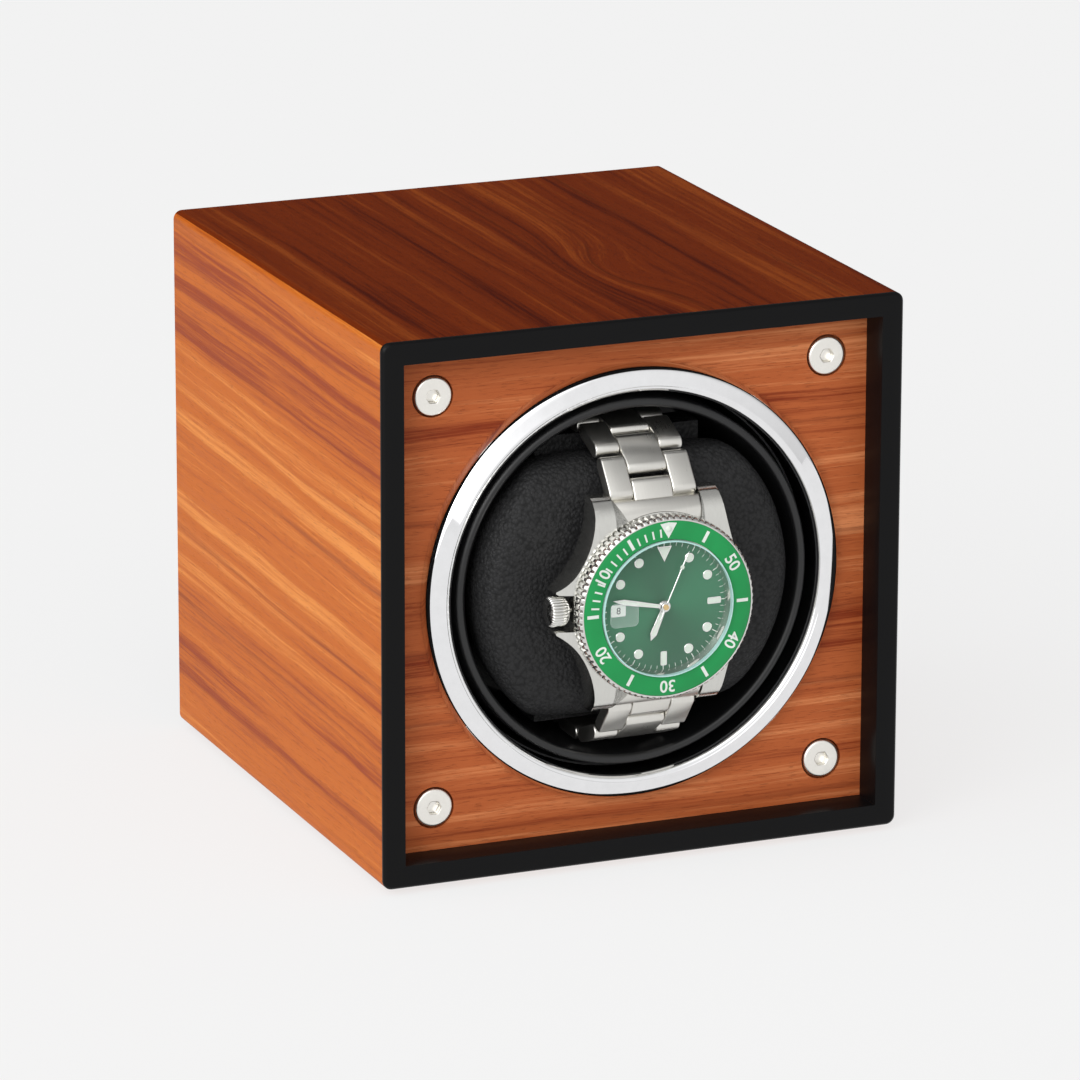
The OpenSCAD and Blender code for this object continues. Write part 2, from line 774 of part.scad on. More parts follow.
// Side outline of a link between two points: a bar with round ends beyond them
module link_outline(p, q) {
    run = q - p;
    translate(p) rotate(atan2(run[1], run[0])) {
        translate([-link_reach, -link_t / 2]) square([norm(run) + 2 * link_reach, link_t]);
        for (x = [-link_reach, norm(run) + link_reach]) translate([x, 0]) circle(link_t / 2);
    }
}
module pin_holes(k0, k1) {
    for (k = [k0, k1]) translate(pin_at(k)) circle(pin_r + SLACK);
}
module link(k) { difference() { link_outline(pin_at(k), pin_at(k + 1)); pin_holes(k, k + 1); } }
module both_ends() { on_watch() mirrored([0, 1, 0]) children(); }
module outer_pair() { mirrored([1, 0, 0]) across(outer_in, bracelet_w / 2) children(); }

module end_links() {
    start = band(0);
    out = [-sin(curve_front_deg), cos(curve_front_deg)] * link_t / 2;
    body = [[case_front + 0.3, 16], [case_front + 0.6, 19], start + out, start - out, [case_back - 0.1, 16]];
    color(STEEL) both_ends() difference() {
        union() {
            across(-bracelet_w / 2, bracelet_w / 2) polygon(body);
            across(-centre_w / 2, centre_w / 2) difference() {
                link_outline(start, pin_at(0));
                pin_holes(0, 0);
            }
        }
        rod(case_r + 0.03, case_front - 1, 1);
    }
}

module outer_links() { color(STEEL) both_ends() outer_pair() for (k = [0:2:8]) link(k); }
module centre_links() {
    color(STEEL) both_ends() across(-centre_w / 2, centre_w / 2) for (k = [1:2:9]) link(k);
}
module link_pins() {
    reach = bracelet_w / 2 - 0.3;
    color(STEEL) both_ends() across(-reach, reach) for (k = [0:last_pin]) translate(pin_at(k)) circle(pin_r);
}

module clasp() {
    half = 15.4;
    depth = bend_back + curve_back_r;
    color(STEEL) {
        on_watch() across(-bracelet_w / 2 - 0.4, bracelet_w / 2 + 0.4)
            translate([depth - 1.5, -half]) square([3.1, 2 * half]);
        both_ends() outer_pair() difference() {
            link_outline([depth, half], pin_at(last_pin));
            pin_holes(last_pin, last_pin);
        }
    }
}

top_panel();
bottom_panel();
left_panel();
right_panel();
front_frame();
front_panel();
trim_ring();
panel_screws();
corner_posts();
threaded_inserts();
rotor_housing();
housing_screws();
rear_cover();
rear_cover_screws();
rubber_feet();
shaft_bushes();
thrust_washer();
motor_plate();
plate_standoffs();
drive_screws();
gearbox();
motor_can();
control_board();
board_parts();
dc_jack();
rotary_switch();
power_switch();
status_led();
motor_wires();
rotor_cup();
rotor_shaft();
driven_gear();
retaining_clip();
cup_screw();
pinion();
motor_shaft();
mode_knob();
power_button();
pillow_cover();
pillow_core();
watch_case();
watch_caseback();
watch_movement();
watch_dial();
hour_markers();
watch_crystal();
date_lens();
end_links();
outer_links();
centre_links();
link_pins();
clasp();
watch_bezel();
bezel_insert();
hour_hand();
minute_hand();
seconds_hand();
crown_stem();
watch_crown();
winding_weight();
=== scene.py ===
"""Watch winder box: the visual model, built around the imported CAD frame.

Meshes are shaped in a face view in millimetres: X across, Y up and Z towards the front, from the
point where the rotor's axis meets the front plane. Depths are measured backwards from that plane.
"""

import json
import logging
import math
from dataclasses import dataclass, field
from enum import Enum
from typing import Callable, Iterable, Optional, Sequence, Union

import bmesh
import bpy
from mathutils import Matrix, Vector, noise

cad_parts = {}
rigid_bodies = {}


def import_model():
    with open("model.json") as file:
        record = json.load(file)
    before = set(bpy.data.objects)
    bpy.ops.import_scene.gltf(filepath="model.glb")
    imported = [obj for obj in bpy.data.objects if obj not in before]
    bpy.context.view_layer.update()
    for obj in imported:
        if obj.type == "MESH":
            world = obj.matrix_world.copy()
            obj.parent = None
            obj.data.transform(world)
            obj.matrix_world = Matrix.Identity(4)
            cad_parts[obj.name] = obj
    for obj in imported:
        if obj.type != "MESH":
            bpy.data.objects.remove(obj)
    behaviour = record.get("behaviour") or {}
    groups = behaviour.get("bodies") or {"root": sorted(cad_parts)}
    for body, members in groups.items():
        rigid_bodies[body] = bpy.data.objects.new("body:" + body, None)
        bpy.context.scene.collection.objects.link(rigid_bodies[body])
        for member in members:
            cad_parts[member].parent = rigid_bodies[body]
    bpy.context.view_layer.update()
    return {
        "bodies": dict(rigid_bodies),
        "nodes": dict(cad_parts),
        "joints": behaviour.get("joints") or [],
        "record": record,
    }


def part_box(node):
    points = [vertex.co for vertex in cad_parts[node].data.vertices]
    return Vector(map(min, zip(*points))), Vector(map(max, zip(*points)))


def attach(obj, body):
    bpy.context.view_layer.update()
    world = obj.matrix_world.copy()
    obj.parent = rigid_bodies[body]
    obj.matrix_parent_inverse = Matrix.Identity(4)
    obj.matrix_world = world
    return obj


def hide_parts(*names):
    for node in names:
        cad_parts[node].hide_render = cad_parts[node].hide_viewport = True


LOG = logging.getLogger("winder")
MM = 0.001
Point2 = tuple[float, float]
Colour = tuple[float, float, float]


# ---------------------------------------------------------------- shader maths


class Level:
    """A number that varies over a surface: a socket that Python's operators work on."""

    def __init__(self, tree: bpy.types.NodeTree, socket: bpy.types.NodeSocket) -> None:
        """Wraps a socket.

        Args:
            tree: The node tree that holds it.
            socket: The output socket that gives the number.
        """
        self.tree = tree
        self.socket = socket

    def math(self, operation: str, *values: Union["Level", float]) -> "Level":
        """Adds a Math node.

        Args:
            operation: The node's operation.
            values: Its inputs in order.

        Returns:
            The node's result.
        """
        node = self.tree.nodes.new("ShaderNodeMath")
        node.operation = operation
        for socket, value in zip(node.inputs, values):
            if isinstance(value, Level):
                self.tree.links.new(value.socket, socket)
            else:
                socket.default_value = value
        return Level(self.tree, node.outputs[0])

    def __add__(self, other: Union["Level", float]) -> "Level":
        """Sum."""
        return self.math("ADD", self, other)

    __radd__ = __add__

    def __sub__(self, other: Union["Level", float]) -> "Level":
        """Difference."""
        return self.math("SUBTRACT", self, other)

    def __rsub__(self, other: float) -> "Level":
        """Difference from a plain number."""
        return self.math("SUBTRACT", other, self)

    def __mul__(self, other: Union["Level", float]) -> "Level":
        """Product."""
        return self.math("MULTIPLY", self, other)

    __rmul__ = __mul__

    def __truediv__(self, other: Union["Level", float]) -> "Level":
        """Quotient."""
        return self.math("DIVIDE", self, other)

    def between(self, low: float, high: float) -> "Level":
        """A smooth step.

        Args:
            low: Where the step starts, at 0. It may lie above high, for a falling step.
            high: Where it ends, at 1.

        Returns:
            The step, from 0 to 1.
        """
        node = self.tree.nodes.new("ShaderNodeMapRange")
        node.interpolation_type = "SMOOTHSTEP"
        self.tree.links.new(self.socket, node.inputs["Value"])
        node.inputs["From Min"].default_value = min(low, high)
        node.inputs["From Max"].default_value = max(low, high)
        node.inputs["To Min"].default_value = 0.0 if low < high else 1.0
        node.inputs["To Max"].default_value = 1.0 if low < high else 0.0
        return Level(self.tree, node.outputs["Result"])


class Nodes:
    """Builds nodes in a tree."""

    def __init__(self, tree: bpy.types.NodeTree) -> None:
        """Empties the tree."""
        self.tree = tree
        self.tree.nodes.clear()

    def node(self, kind: str, settings: Optional[dict] = None,
             sockets: Optional[dict] = None) -> bpy.types.Node:
        """Adds a node.

        Args:
            kind: The node's type.
            settings: Its properties, set first. "stops" fills a colour ramp.
            sockets: Values, Levels or sockets for its inputs, by name or number.

        Returns:
            The new node.
        """
        node = self.tree.nodes.new(kind)
        for key, value in (settings or {}).items():
            if key == "stops":
                fill_ramp(node.color_ramp, value)
            else:
                setattr(node, key, value)
        for key, value in (sockets or {}).items():
            self.feed(node.inputs[key], value)
        return node

    def feed(self, socket: bpy.types.NodeSocket, value: object) -> None:
        """Links or sets one input.

        Args:
            socket: The input.
            value: A Level, an output socket or a plain value.
        """
        if isinstance(value, Level):
            value = value.socket
        if isinstance(value, bpy.types.NodeSocket):
            self.tree.links.new(value, socket)
        elif isinstance(value, tuple) and len(value) == 3 and socket.type == "RGBA":
            socket.default_value = (*value, 1.0)
        else:
            socket.default_value = value

    def level(self, node: bpy.types.Node, output: Union[str, int] = 0) -> Level:
        """Wraps a node's output as a Level."""
        return Level(self.tree, node.outputs[output])

    def vector(self, x: object, y: object, z: object) -> bpy.types.NodeSocket:
        """Joins three numbers into a vector socket."""
        return self.node("ShaderNodeCombineXYZ", sockets={0: x, 1: y, 2: z}).outputs[0]

    def noise(self, vector: bpy.types.NodeSocket, detail: float = 3.0, roughness: float = 0.55) -> Level:
        """Noise of unit size.

        Args:
            vector: Where it is read.
            detail: Octaves.
            roughness: Strength of the finer octaves.

        Returns:
            A level around 0.5.
        """
        node = self.node("ShaderNodeTexNoise", sockets={
            "Vector": vector, "Scale": 1.0, "Detail": detail, "Roughness": roughness})
        return self.level(node)

    def cells(self, vector: bpy.types.NodeSocket) -> Level:
        """Voronoi distance of unit size."""
        return self.level(self.node("ShaderNodeTexVoronoi", {"feature": "F1"},
                                    {"Vector": vector, "Scale": 1.0}))

    def ramp(self, level: Level, stops: Sequence[tuple[float, Colour]]) -> bpy.types.NodeSocket:
        """Turns a level into a colour.

        Args:
            level: The level.
            stops: Places and colours.

        Returns:
            The colour's socket.
        """
        return self.node("ShaderNodeValToRGB", {"stops": stops}, {0: level}).outputs["Color"]

    def mix(self, factor: object, a: object, b: object) -> bpy.types.NodeSocket:
        """Mixes two colours.

        Args:
            factor: Share of the second one.
            a: The first colour.
            b: The second colour.

        Returns:
            The mixed colour's socket.
        """
        node = self.node("ShaderNodeMix", {"data_type": "RGBA", "blend_type": "MIX"})
        self.feed(node.inputs[0], factor)
        self.feed(node.inputs[6], a)
        self.feed(node.inputs[7], b)
        return node.outputs[2]


class Paint(Nodes):
    """Builds one material's nodes around a Principled shader."""

    def __init__(self, name: str) -> None:
        """Starts an empty material.

        Args:
            name: The material's name.
        """
        self.material = bpy.data.materials.new(name)
        self.material.use_nodes = True
        super().__init__(self.material.node_tree)
        self.shader = self.node("ShaderNodeBsdfPrincipled")
        self.output = self.node("ShaderNodeOutputMaterial", sockets={"Surface": self.shader.outputs[0]})

    def place(self) -> tuple[Level, Level, Level]:
        """The point on the object in millimetres.

        Returns:
            Its X, Y and Z in the row frame.
        """
        split = self.node("ShaderNodeSeparateXYZ",
                          sockets={0: self.node("ShaderNodeTexCoord").outputs["Object"]})
        return tuple(self.level(split, i) * 1000.0 for i in range(3))

    def bump(self, height: Level, depth: float) -> None:
        """Feeds a height in millimetres to the shader's normal.

        Args:
            height: The height, around 0 to 1.
            depth: Its full size in millimetres.
        """
        node = self.node("ShaderNodeBump",
                         sockets={"Height": height, "Distance": depth * MM, "Strength": 1.0})
        self.feed(self.shader.inputs["Normal"], node.outputs[0])

    def surface(self, **sockets: object) -> None:
        """Sets the shader's inputs, with an underscore for each space in a name."""
        for key, value in sockets.items():
            self.feed(self.shader.inputs[key.replace("_", " ")], value)


def fill_ramp(ramp: bpy.types.ColorRamp, stops: Sequence[tuple[float, Colour]]) -> None:
    """Fills a colour ramp.

    Args:
        ramp: The ramp.
        stops: Places and colours, in rising order.
    """
    while len(ramp.elements) < len(stops):
        ramp.elements.new(1.0)
    for element, (place, colour) in zip(ramp.elements, stops):
        element.position = place
        element.color = (*colour, 1.0)


# ---------------------------------------------------------------- finishes


class Grain(Enum):
    """The way a board's grain runs."""

    ACROSS = "across"
    BACKWARDS = "backwards"


@dataclass(frozen=True)
class Finish:
    """A finish. Each kind fills in a material's nodes."""

    name: str

    def dress(self, paint: Paint) -> None:
        """Fills in the material's nodes."""
        raise NotImplementedError

    def make(self) -> bpy.types.Material:
        """Returns the finish's material, made once."""
        if self.name not in bpy.data.materials:
            paint = Paint(self.name)
            self.dress(paint)
        return bpy.data.materials[self.name]


@dataclass(frozen=True)
class Veneer(Finish):
    """Satin rosewood veneer: broad bands, streaks, dark lines, fibres and short pores along one grain."""

    grain: Grain = Grain.BACKWARDS
    dark: Colour = (0.28, 0.042, 0.004)
    middle: Colour = (0.49, 0.118, 0.010)
    light: Colour = (0.69, 0.245, 0.05)
    line: Colour = (0.19, 0.028, 0.007)
    slope: float = 0.0
    knot: Optional[Point2] = None
    seed: float = 0.0
    centre: float = 0.5
    heart: Optional[float] = None
    gloss: float = 0.1

    def dress(self, paint: Paint) -> None:
        """Fills in the material's nodes."""
        x, y, z = paint.place()
        along, across, through = (x, z, y) if self.grain is Grain.ACROSS else (y, z + x * 1.03, x - z)
        across = across + along * self.slope + self.seed * 7.0
        if self.knot:
            across = across + self.figure(x, y)
        drift = paint.noise(paint.vector(along * 0.012, across * 0.04, self.seed), 2.0)
        bent = across + (drift - 0.5) * 3.2
        bands = paint.noise(paint.vector(along * 0.002, bent * 0.04, self.seed), 1.0)
        stripes = paint.noise(paint.vector(along * 0.0028, bent * 0.2, self.seed + 9.0), 5.0, 0.62)
        fibres = paint.noise(paint.vector(along * 0.03, bent * 1.5, through * 0.3), 4.0, 0.7)
        lines = paint.noise(paint.vector(along * 0.0022, bent * 0.24, self.seed + 31.0), 3.0, 0.6)
        pores = paint.noise(paint.vector(along * 0.3, bent * 4.6, through * 1.5), 2.0, 0.5)
        tone = (bands - 0.5) * 0.6 + (stripes - 0.5) * 1.0 + (fibres - 0.5) * 0.5 + self.centre
        if self.heart is not None:
            reach = (z + y * 0.03 - self.heart) * 0.04
            tone = tone + reach.math("EXPONENT", reach * reach * -1.0) * 0.12 - 0.05
        colour = paint.ramp(tone, (
            (0.30, self.dark), (0.46, self.middle), (0.54, self.middle), (0.72, self.light)))
        dark_lines = lines.between(0.57, 0.70) * fibres.between(0.30, 0.62)
        colour = paint.mix(dark_lines * 0.7, colour, self.line)
        pits = pores.between(0.60, 0.70)
        colour = paint.mix(pits * 0.35, colour, self.line)
        paint.surface(Base_Color=colour, Roughness=fibres * 0.2 + 0.36, Specular_IOR_Level=self.gloss)
        paint.bump(fibres * 0.5 - pits * 0.6, 0.06)

    def figure(self, x: Level, y: Level) -> Level:
        """How far the grain swerves around the knot.

        Args:
            x: The point's X in millimetres.
            y: The point's Y in millimetres.

        Returns:
            The swerve across the grain, in millimetres.
        """
        knot_x, knot_y = self.knot
        side = x - knot_x
        ahead = (y - knot_y) / 2.6
        reach = side * side + ahead * ahead
        pull = reach.math("EXPONENT", reach * -0.012)
        return pull * 9.0


@dataclass(frozen=True)
class Lacquer(Finish):
    """Sprayed or moulded black: an even colour with a faint orange-peel skin."""

    colour: Colour = (0.012, 0.012, 0.013)
    roughness: float = 0.3
    coat: float = 0.0
    peel: float = 0.004
    peel_size: float = 1.2
    specular: float = 0.5

    def dress(self, paint: Paint) -> None:
        """Fills in the material's nodes."""
        x, y, z = paint.place()
        scale = 1.0 / self.peel_size
        skin = paint.noise(paint.vector(x * scale, y * scale, z * scale), 2.0)
        wear = paint.noise(paint.vector(x * 0.08, y * 0.08, z * 0.08), 4.0)
        paint.surface(Base_Color=self.colour, Roughness=(wear - 0.5) * 0.12 + self.roughness)
        paint.surface(Coat_Weight=self.coat, Coat_Roughness=0.05, Specular_IOR_Level=self.specular)
        paint.bump(skin, self.peel)


@dataclass(frozen=True)
class Metal(Finish):
    """Polished or satin metal with a faint grain along one axis."""

    colour: Colour = (0.78, 0.77, 0.74)
    roughness: float = 0.22
    spread: float = 0.1
    grain: tuple[float, float, float] = (0.15, 4.0, 9.0)
    depth: float = 0.0

    def dress(self, paint: Paint) -> None:
        """Fills in the material's nodes."""
        x, y, z = paint.place()
        gx, gy, gz = self.grain
        brushing = paint.noise(paint.vector(x * gx, y * gy, z * gz), 3.0, 0.6)
        smudge = paint.noise(paint.vector(x * 0.11, y * 0.11, z * 0.11), 3.0)
        tint = paint.mix(brushing, tuple(0.9 * c for c in self.colour), self.colour)
        rough = (brushing - 0.5) * self.spread + (smudge - 0.5) * 0.08 + self.roughness
        paint.surface(Base_Color=tint, Metallic=1.0, Roughness=rough)
        if self.depth:
            paint.bump(brushing, self.depth)


@dataclass(frozen=True)
class Leather(Finish):
    """Fine pebbled leather with creases between the pebbles; the colour is lighter on the pebble tops as a
    painted highlight and darker in the creases as painted shade.
    """

    colour: Colour = (0.02, 0.02, 0.021)
    pebble: float = 0.8

    def dress(self, paint: Paint) -> None:
        """Fills in the material's nodes."""
        x, y, z = paint.place()
        wander = paint.noise(paint.vector(x * 0.5, y * 0.5, z * 0.5), 3.0)
        size = 1.0 / self.pebble
        shift = (wander - 0.5) * 1.3
        spot = paint.vector(x * size + shift, y * size - shift, z * size + shift * 0.6)
        pebbles = paint.cells(spot)
        small = paint.noise(paint.vector(x * size * 2.2, y * size * 2.2, z * size * 2.2), 3.0, 0.6)
        height = 1.0 - pebbles * 0.9 + small * 0.5
        crease_shade = pebbles.between(0.35, 0.85)
        # Painted highlight and painted shade: pebble tops at 1.15 times the colour, creases at 0.65 times,
        # for light the bump alone does not show.
        colour = paint.mix(crease_shade, tuple(1.15 * c for c in self.colour), tuple(0.65 * c for c in self.colour))
        paint.surface(Base_Color=colour, Roughness=crease_shade * 0.2 + 0.34, Specular_IOR_Level=0.13)
        paint.bump(height, 0.25)


@dataclass(frozen=True)
class Enamel(Finish):
    """Glossy bezel enamel."""

    colour: Colour = (0.0, 0.16, 0.05)
    roughness: float = 0.15

    def dress(self, paint: Paint) -> None:
        """Fills in the material's nodes."""
        x, y, z = paint.place()
        cloud = paint.noise(paint.vector(x * 0.12, y * 0.12, z * 0.12), 2.0)
        shade = paint.mix(cloud, tuple(0.8 * c for c in self.colour), tuple(1.25 * c for c in self.colour))
        paint.surface(Base_Color=shade, Roughness=self.roughness, Specular_IOR_Level=0.3)


@dataclass(frozen=True)
class SunrayDial(Finish):
    """Lacquer over fine rays brushed outwards from the dial's centre, with two bright and two dark sectors
    painted into the colour as a painted sheen.
    """

    colour: Colour = (0.035, 0.2, 0.1)
    centre: Point2 = (0.0, 0.0)

    def dress(self, paint: Paint) -> None:
        """Fills in the material's nodes."""
        x, _, z = paint.place()
        turn = x.math("ARCTAN2", z - self.centre[1], x - self.centre[0])
        fine = paint.noise(paint.vector(turn * 30.0, 0.0, 0.0), 3.0, 0.7)
        # Painted sheen: two bright and two dark sectors round the centre where the brushed rays would reflect
        # the light; the fine rays are the brushing's own tone.
        sheen_lobes = (turn * 2.0 + 0.9).math("SINE", turn * 2.0 + 0.9)
        painted_sheen = sheen_lobes * 0.5 + 0.5
        low, high = tuple(0.72 * c for c in self.colour), tuple(1.5 * c for c in self.colour)
        colour = paint.mix(painted_sheen * 0.7 + fine * 0.3, low, high)
        paint.surface(Base_Color=colour, Roughness=fine * 0.15 + 0.28, Metallic=0.15)
        paint.surface(Specular_IOR_Level=0.25)


@dataclass(frozen=True)
class Clear(Finish):
    """Thin clear crystal: mostly see-through, with a shine at a slant."""

    tint: Colour = (0.95, 1.0, 1.0)
    film: float = 0.02
    rim: float = 0.4

    def dress(self, paint: Paint) -> None:
        """Fills in the material's nodes."""
        slant = paint.level(paint.node("ShaderNodeLayerWeight", sockets={"Blend": 0.25}), "Facing")
        paint.surface(Base_Color=self.tint, Roughness=0.03, Alpha=slant * (self.rim - self.film) + self.film)
        paint.surface(Specular_IOR_Level=0.5)


# ---------------------------------------------------------------- mesh work


@dataclass
class Datum:
    """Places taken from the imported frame, in metres."""

    front_y: float
    axis_z: float
    watch_z: float

    @classmethod
    def read(cls) -> "Datum":
        """Reads the front plane, the rotor's axis and the watch's centre from the CAD nodes."""
        ring_low, ring_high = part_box("trim_ring")
        bezel_low, bezel_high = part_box("watch_bezel")
        return cls(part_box("front_frame")[0].y, (ring_low.z + ring_high.z) / 2,
                   (bezel_low.z + bezel_high.z) / 2)

    def face(self, on_watch: bool = False) -> Matrix:
        """The matrix from the face view to the row frame.

        Args:
            on_watch: Whether the view is centred on the watch instead of the rotor's axis.

        Returns:
            The matrix.
        """
        centre = Vector((0.0, self.front_y, self.watch_z if on_watch else self.axis_z))
        return Matrix.Translation(centre) @ Matrix.Rotation(math.pi / 2, 4, "X") @ Matrix.Scale(MM, 4)


class Form:
    """A mesh being shaped with bmesh operators, in millimetres in the face view."""

    def __init__(self) -> None:
        """Starts with nothing."""
        self.bm = bmesh.new()

    # ---- starting shapes

    @classmethod
    def turned(cls, profile: Sequence[Point2], steps: int = 96, closed: bool = False) -> "Form":
        """Spins a profile about the face view's Z axis.

        Args:
            profile: Points of radius and depth.
            steps: Steps of the full turn.
            closed: Whether the profile is a loop.

        Returns:
            The turned form.
        """
        form = cls()
        verts = [form.bm.verts.new((r, 0.0, -d)) for r, d in profile]
        edges = [form.bm.edges.new(pair) for pair in zip(verts, verts[1:])]
        if closed:
            edges.append(form.bm.edges.new((verts[-1], verts[0])))
        bmesh.ops.spin(form.bm, geom=verts + edges, cent=(0, 0, 0), axis=(0, 0, 1), angle=math.tau,
                       steps=steps, use_merge=True)
        return form.tidied()

    @classmethod
    def prism(cls, outline: Sequence[Point2], front: float, back: float) -> "Form":
        """Extrudes a face-view outline between two depths.

        Args:
            outline: Its points.
            front: The front face's depth.
            back: The back face's depth.

        Returns:
            The prism.
        """
        form = cls()
        face = form.bm.faces.new([form.bm.verts.new((x, y, -back)) for x, y in outline])
        grown = bmesh.ops.extrude_face_region(form.bm, geom=[face])
        moved = [g for g in grown["geom"] if isinstance(g, bmesh.types.BMVert)]
        bmesh.ops.translate(form.bm, verts=moved, vec=(0, 0, back - front))
        return form.tidied()

    @classmethod
    def block(cls, size: tuple[float, float, float], centre: tuple[float, float, float]) -> "Form":
        """Makes a box.

        Args:
            size: Its width, height and depth.
            centre: Its centre across, up and in depth.

        Returns:
            The box.
        """
        form = cls()
        place = Matrix.Translation((centre[0], centre[1], -centre[2])) @ Matrix.Diagonal((*size, 1.0))
        bmesh.ops.create_cube(form.bm, size=1.0, matrix=place)
        return form

    @classmethod
    def copied(cls, node: str, datum: Datum) -> "Form":
        """Copies a CAD node, with its loose triangles joined into flat faces.

        Args:
            node: The node's name.
            datum: The frame's places.

        Returns:
            The copy in the face view.
        """
        form = cls()
        form.bm.from_mesh(FRAME["nodes"][node].data)
        bmesh.ops.transform(form.bm, matrix=datum.face().inverted(), verts=form.bm.verts)
        bmesh.ops.remove_doubles(form.bm, verts=form.bm.verts, dist=0.0005)
        bmesh.ops.dissolve_limit(form.bm, angle_limit=math.radians(0.3), verts=form.bm.verts,
                                 edges=form.bm.edges)
        return form

    @classmethod
    def lettered(cls, text: str, size: float, weight: float, thickness: float) -> "Form":
        """Makes numerals as thin solids, centred on the origin.

        Args:
            text: The numerals.
            size: Their type size.
            weight: How far their outlines are fattened.
            thickness: Their thickness, upwards from Z = 0.

        Returns:
            The numerals.
        """
        curve = bpy.data.curves.new(f"numerals_{text}", "FONT")
        curve.body, curve.size, curve.offset = text, size, weight
        curve.align_x, curve.align_y = "CENTER", "CENTER"
        curve.extrude = thickness / 2
        curve.resolution_u = 4
        holder = bpy.data.objects.new(curve.name, curve)
        bpy.context.scene.collection.objects.link(holder)
        mesh = bpy.data.meshes.new_from_object(holder.evaluated_get(bpy.context.evaluated_depsgraph_get()))
        form = cls()
        form.bm.from_mesh(mesh)
        bpy.data.objects.remove(holder)
        bpy.data.curves.remove(curve)
        bpy.data.meshes.remove(mesh)
        xs = [v.co.x for v in form.bm.verts]
        ys = [v.co.y for v in form.bm.verts]
        middle = (-(max(xs) + min(xs)) / 2, -(max(ys) + min(ys)) / 2, thickness / 2)
        bmesh.ops.translate(form.bm, verts=form.bm.verts, vec=middle)
        return form.tidied()

    # ---- shaping

    def tidied(self) -> "Form":
        """Merges doubled points and turns every face outwards."""
        bmesh.ops.remove_doubles(self.bm, verts=self.bm.verts, dist=0.0004)
        bmesh.ops.recalc_face_normals(self.bm, faces=self.bm.faces)
        return self

    def bevelled(self, width: float, segments: int = 2, angle: float = 30.0,
                 keep: Optional[Callable[[bmesh.types.BMEdge], bool]] = None) -> "Form":
        """Rounds the sharp edges.

        Args:
            width: The bevel's width.
            segments: Its segments.
            angle: The least angle between two faces, in degrees, that counts as sharp.
            keep: A test that picks among the sharp edges.

        Returns:
            The same form.
        """
        limit = math.radians(angle)
        edges = [e for e in self.bm.edges
                 if len(e.link_faces) == 2 and e.calc_face_angle(0.0) > limit and (keep is None or keep(e))]
        bmesh.ops.bevel(self.bm, geom=edges, offset=width, offset_type="OFFSET", segments=segments,
                        affect="EDGES", profile=0.5, material=-1, clamp_overlap=True)
        return self

    def moved(self, matrix: Matrix) -> "Form":
        """Places the form by a matrix."""
        bmesh.ops.transform(self.bm, matrix=matrix, verts=self.bm.verts)
        if matrix.determinant() < 0:
            bmesh.ops.reverse_faces(self.bm, faces=self.bm.faces)
        return self

    def shifted(self, x: float = 0.0, y: float = 0.0, depth: float = 0.0) -> "Form":
        """Shifts the form across, up and backwards."""
        return self.moved(Matrix.Translation((x, y, -depth)))

    def turned_by(self, degrees: float, axis: str = "Z") -> "Form":
        """Turns the form about one of the face view's axes."""
        return self.moved(Matrix.Rotation(math.radians(degrees), 4, axis))

    def bent(self, move: Callable[[Vector], Vector]) -> "Form":
        """Moves each point by a rule."""
        for vert in self.bm.verts:
            vert.co = move(vert.co)
        return self

    def fluted(self, flutes: int, start: float, fade: float, groove: Callable[[float], float]) -> "Form":
        """Presses grooves into the rim of a turned form.

        Args:
            flutes: How many.
            start: The radius where they start.
            fade: The distance over which they reach their depth.
            groove: The depth for a wave of 0 in a groove to 1 on the ridge beside it.

        Returns:
            The same form.
        """
        def pressed(co: Vector) -> Vector:
            radius = co.xy.length
            if radius < start:
                return co
            wave = abs(math.sin(math.atan2(co.y, co.x) * flutes / 2))
            dent = groove(wave) * min((radius - start) / fade, 1.0)
            return Vector((co.x * (1 - dent / radius), co.y * (1 - dent / radius), co.z))
        return self.bent(pressed)

    def cut(self, point: tuple[float, float, float], normal: tuple[float, float, float]) -> "Form":
        """Adds an edge loop along a plane, given by a point on it and its normal."""
        geom = list(self.bm.verts) + list(self.bm.edges) + list(self.bm.faces)
        bmesh.ops.bisect_plane(self.bm, geom=geom, plane_co=point, plane_no=normal)
        return self

    def with_parts(self, parts: Iterable["Form"]) -> "Form":
        """Joins other forms to this one as separate shells."""
        for part in parts:
            mesh = bpy.data.meshes.new("part")
            part.bm.to_mesh(mesh)
            self.bm.from_mesh(mesh)
            bpy.data.meshes.remove(mesh)
            part.bm.free()
        return self

    def twin(self) -> "Form":
        """Returns a separate copy."""
        copy = Form()
        copy.bm = self.bm.copy()
        return copy

    def mirrored(self, across: bool = True) -> "Form":
        """Returns a copy mirrored left to right, or top to bottom."""
        return self.twin().moved(Matrix.Diagonal((-1.0, 1.0, 1.0, 1.0) if across else (1.0, -1.0, 1.0, 1.0)))


def arc(centre: Point2, radius: float, start: float, end: float, steps: int = 8) -> list[Point2]:
    """Points along an arc.

    Args:
        centre: Its centre.
        radius: Its radius.
        start: The first angle in degrees.
        end: The last angle.
        steps: Steps between them.

    Returns:
        The points.
    """
    turns = [math.radians(start + (end - start) * i / steps) for i in range(steps + 1)]
    return [(centre[0] + radius * math.cos(a), centre[1] + radius * math.sin(a)) for a in turns]


def rounded_outline(width: float, height: float, radius: float, steps: int = 6) -> list[Point2]:
    """The outline of a rectangle with round corners, counter-clockwise."""
    x, y = width / 2 - radius, height / 2 - radius
    corners = ((x, y, 0), (-x, y, 90), (-x, -y, 180), (x, -y, 270))
    return [p for cx, cy, a in corners for p in arc((cx, cy), radius, a, a + 90, steps)]


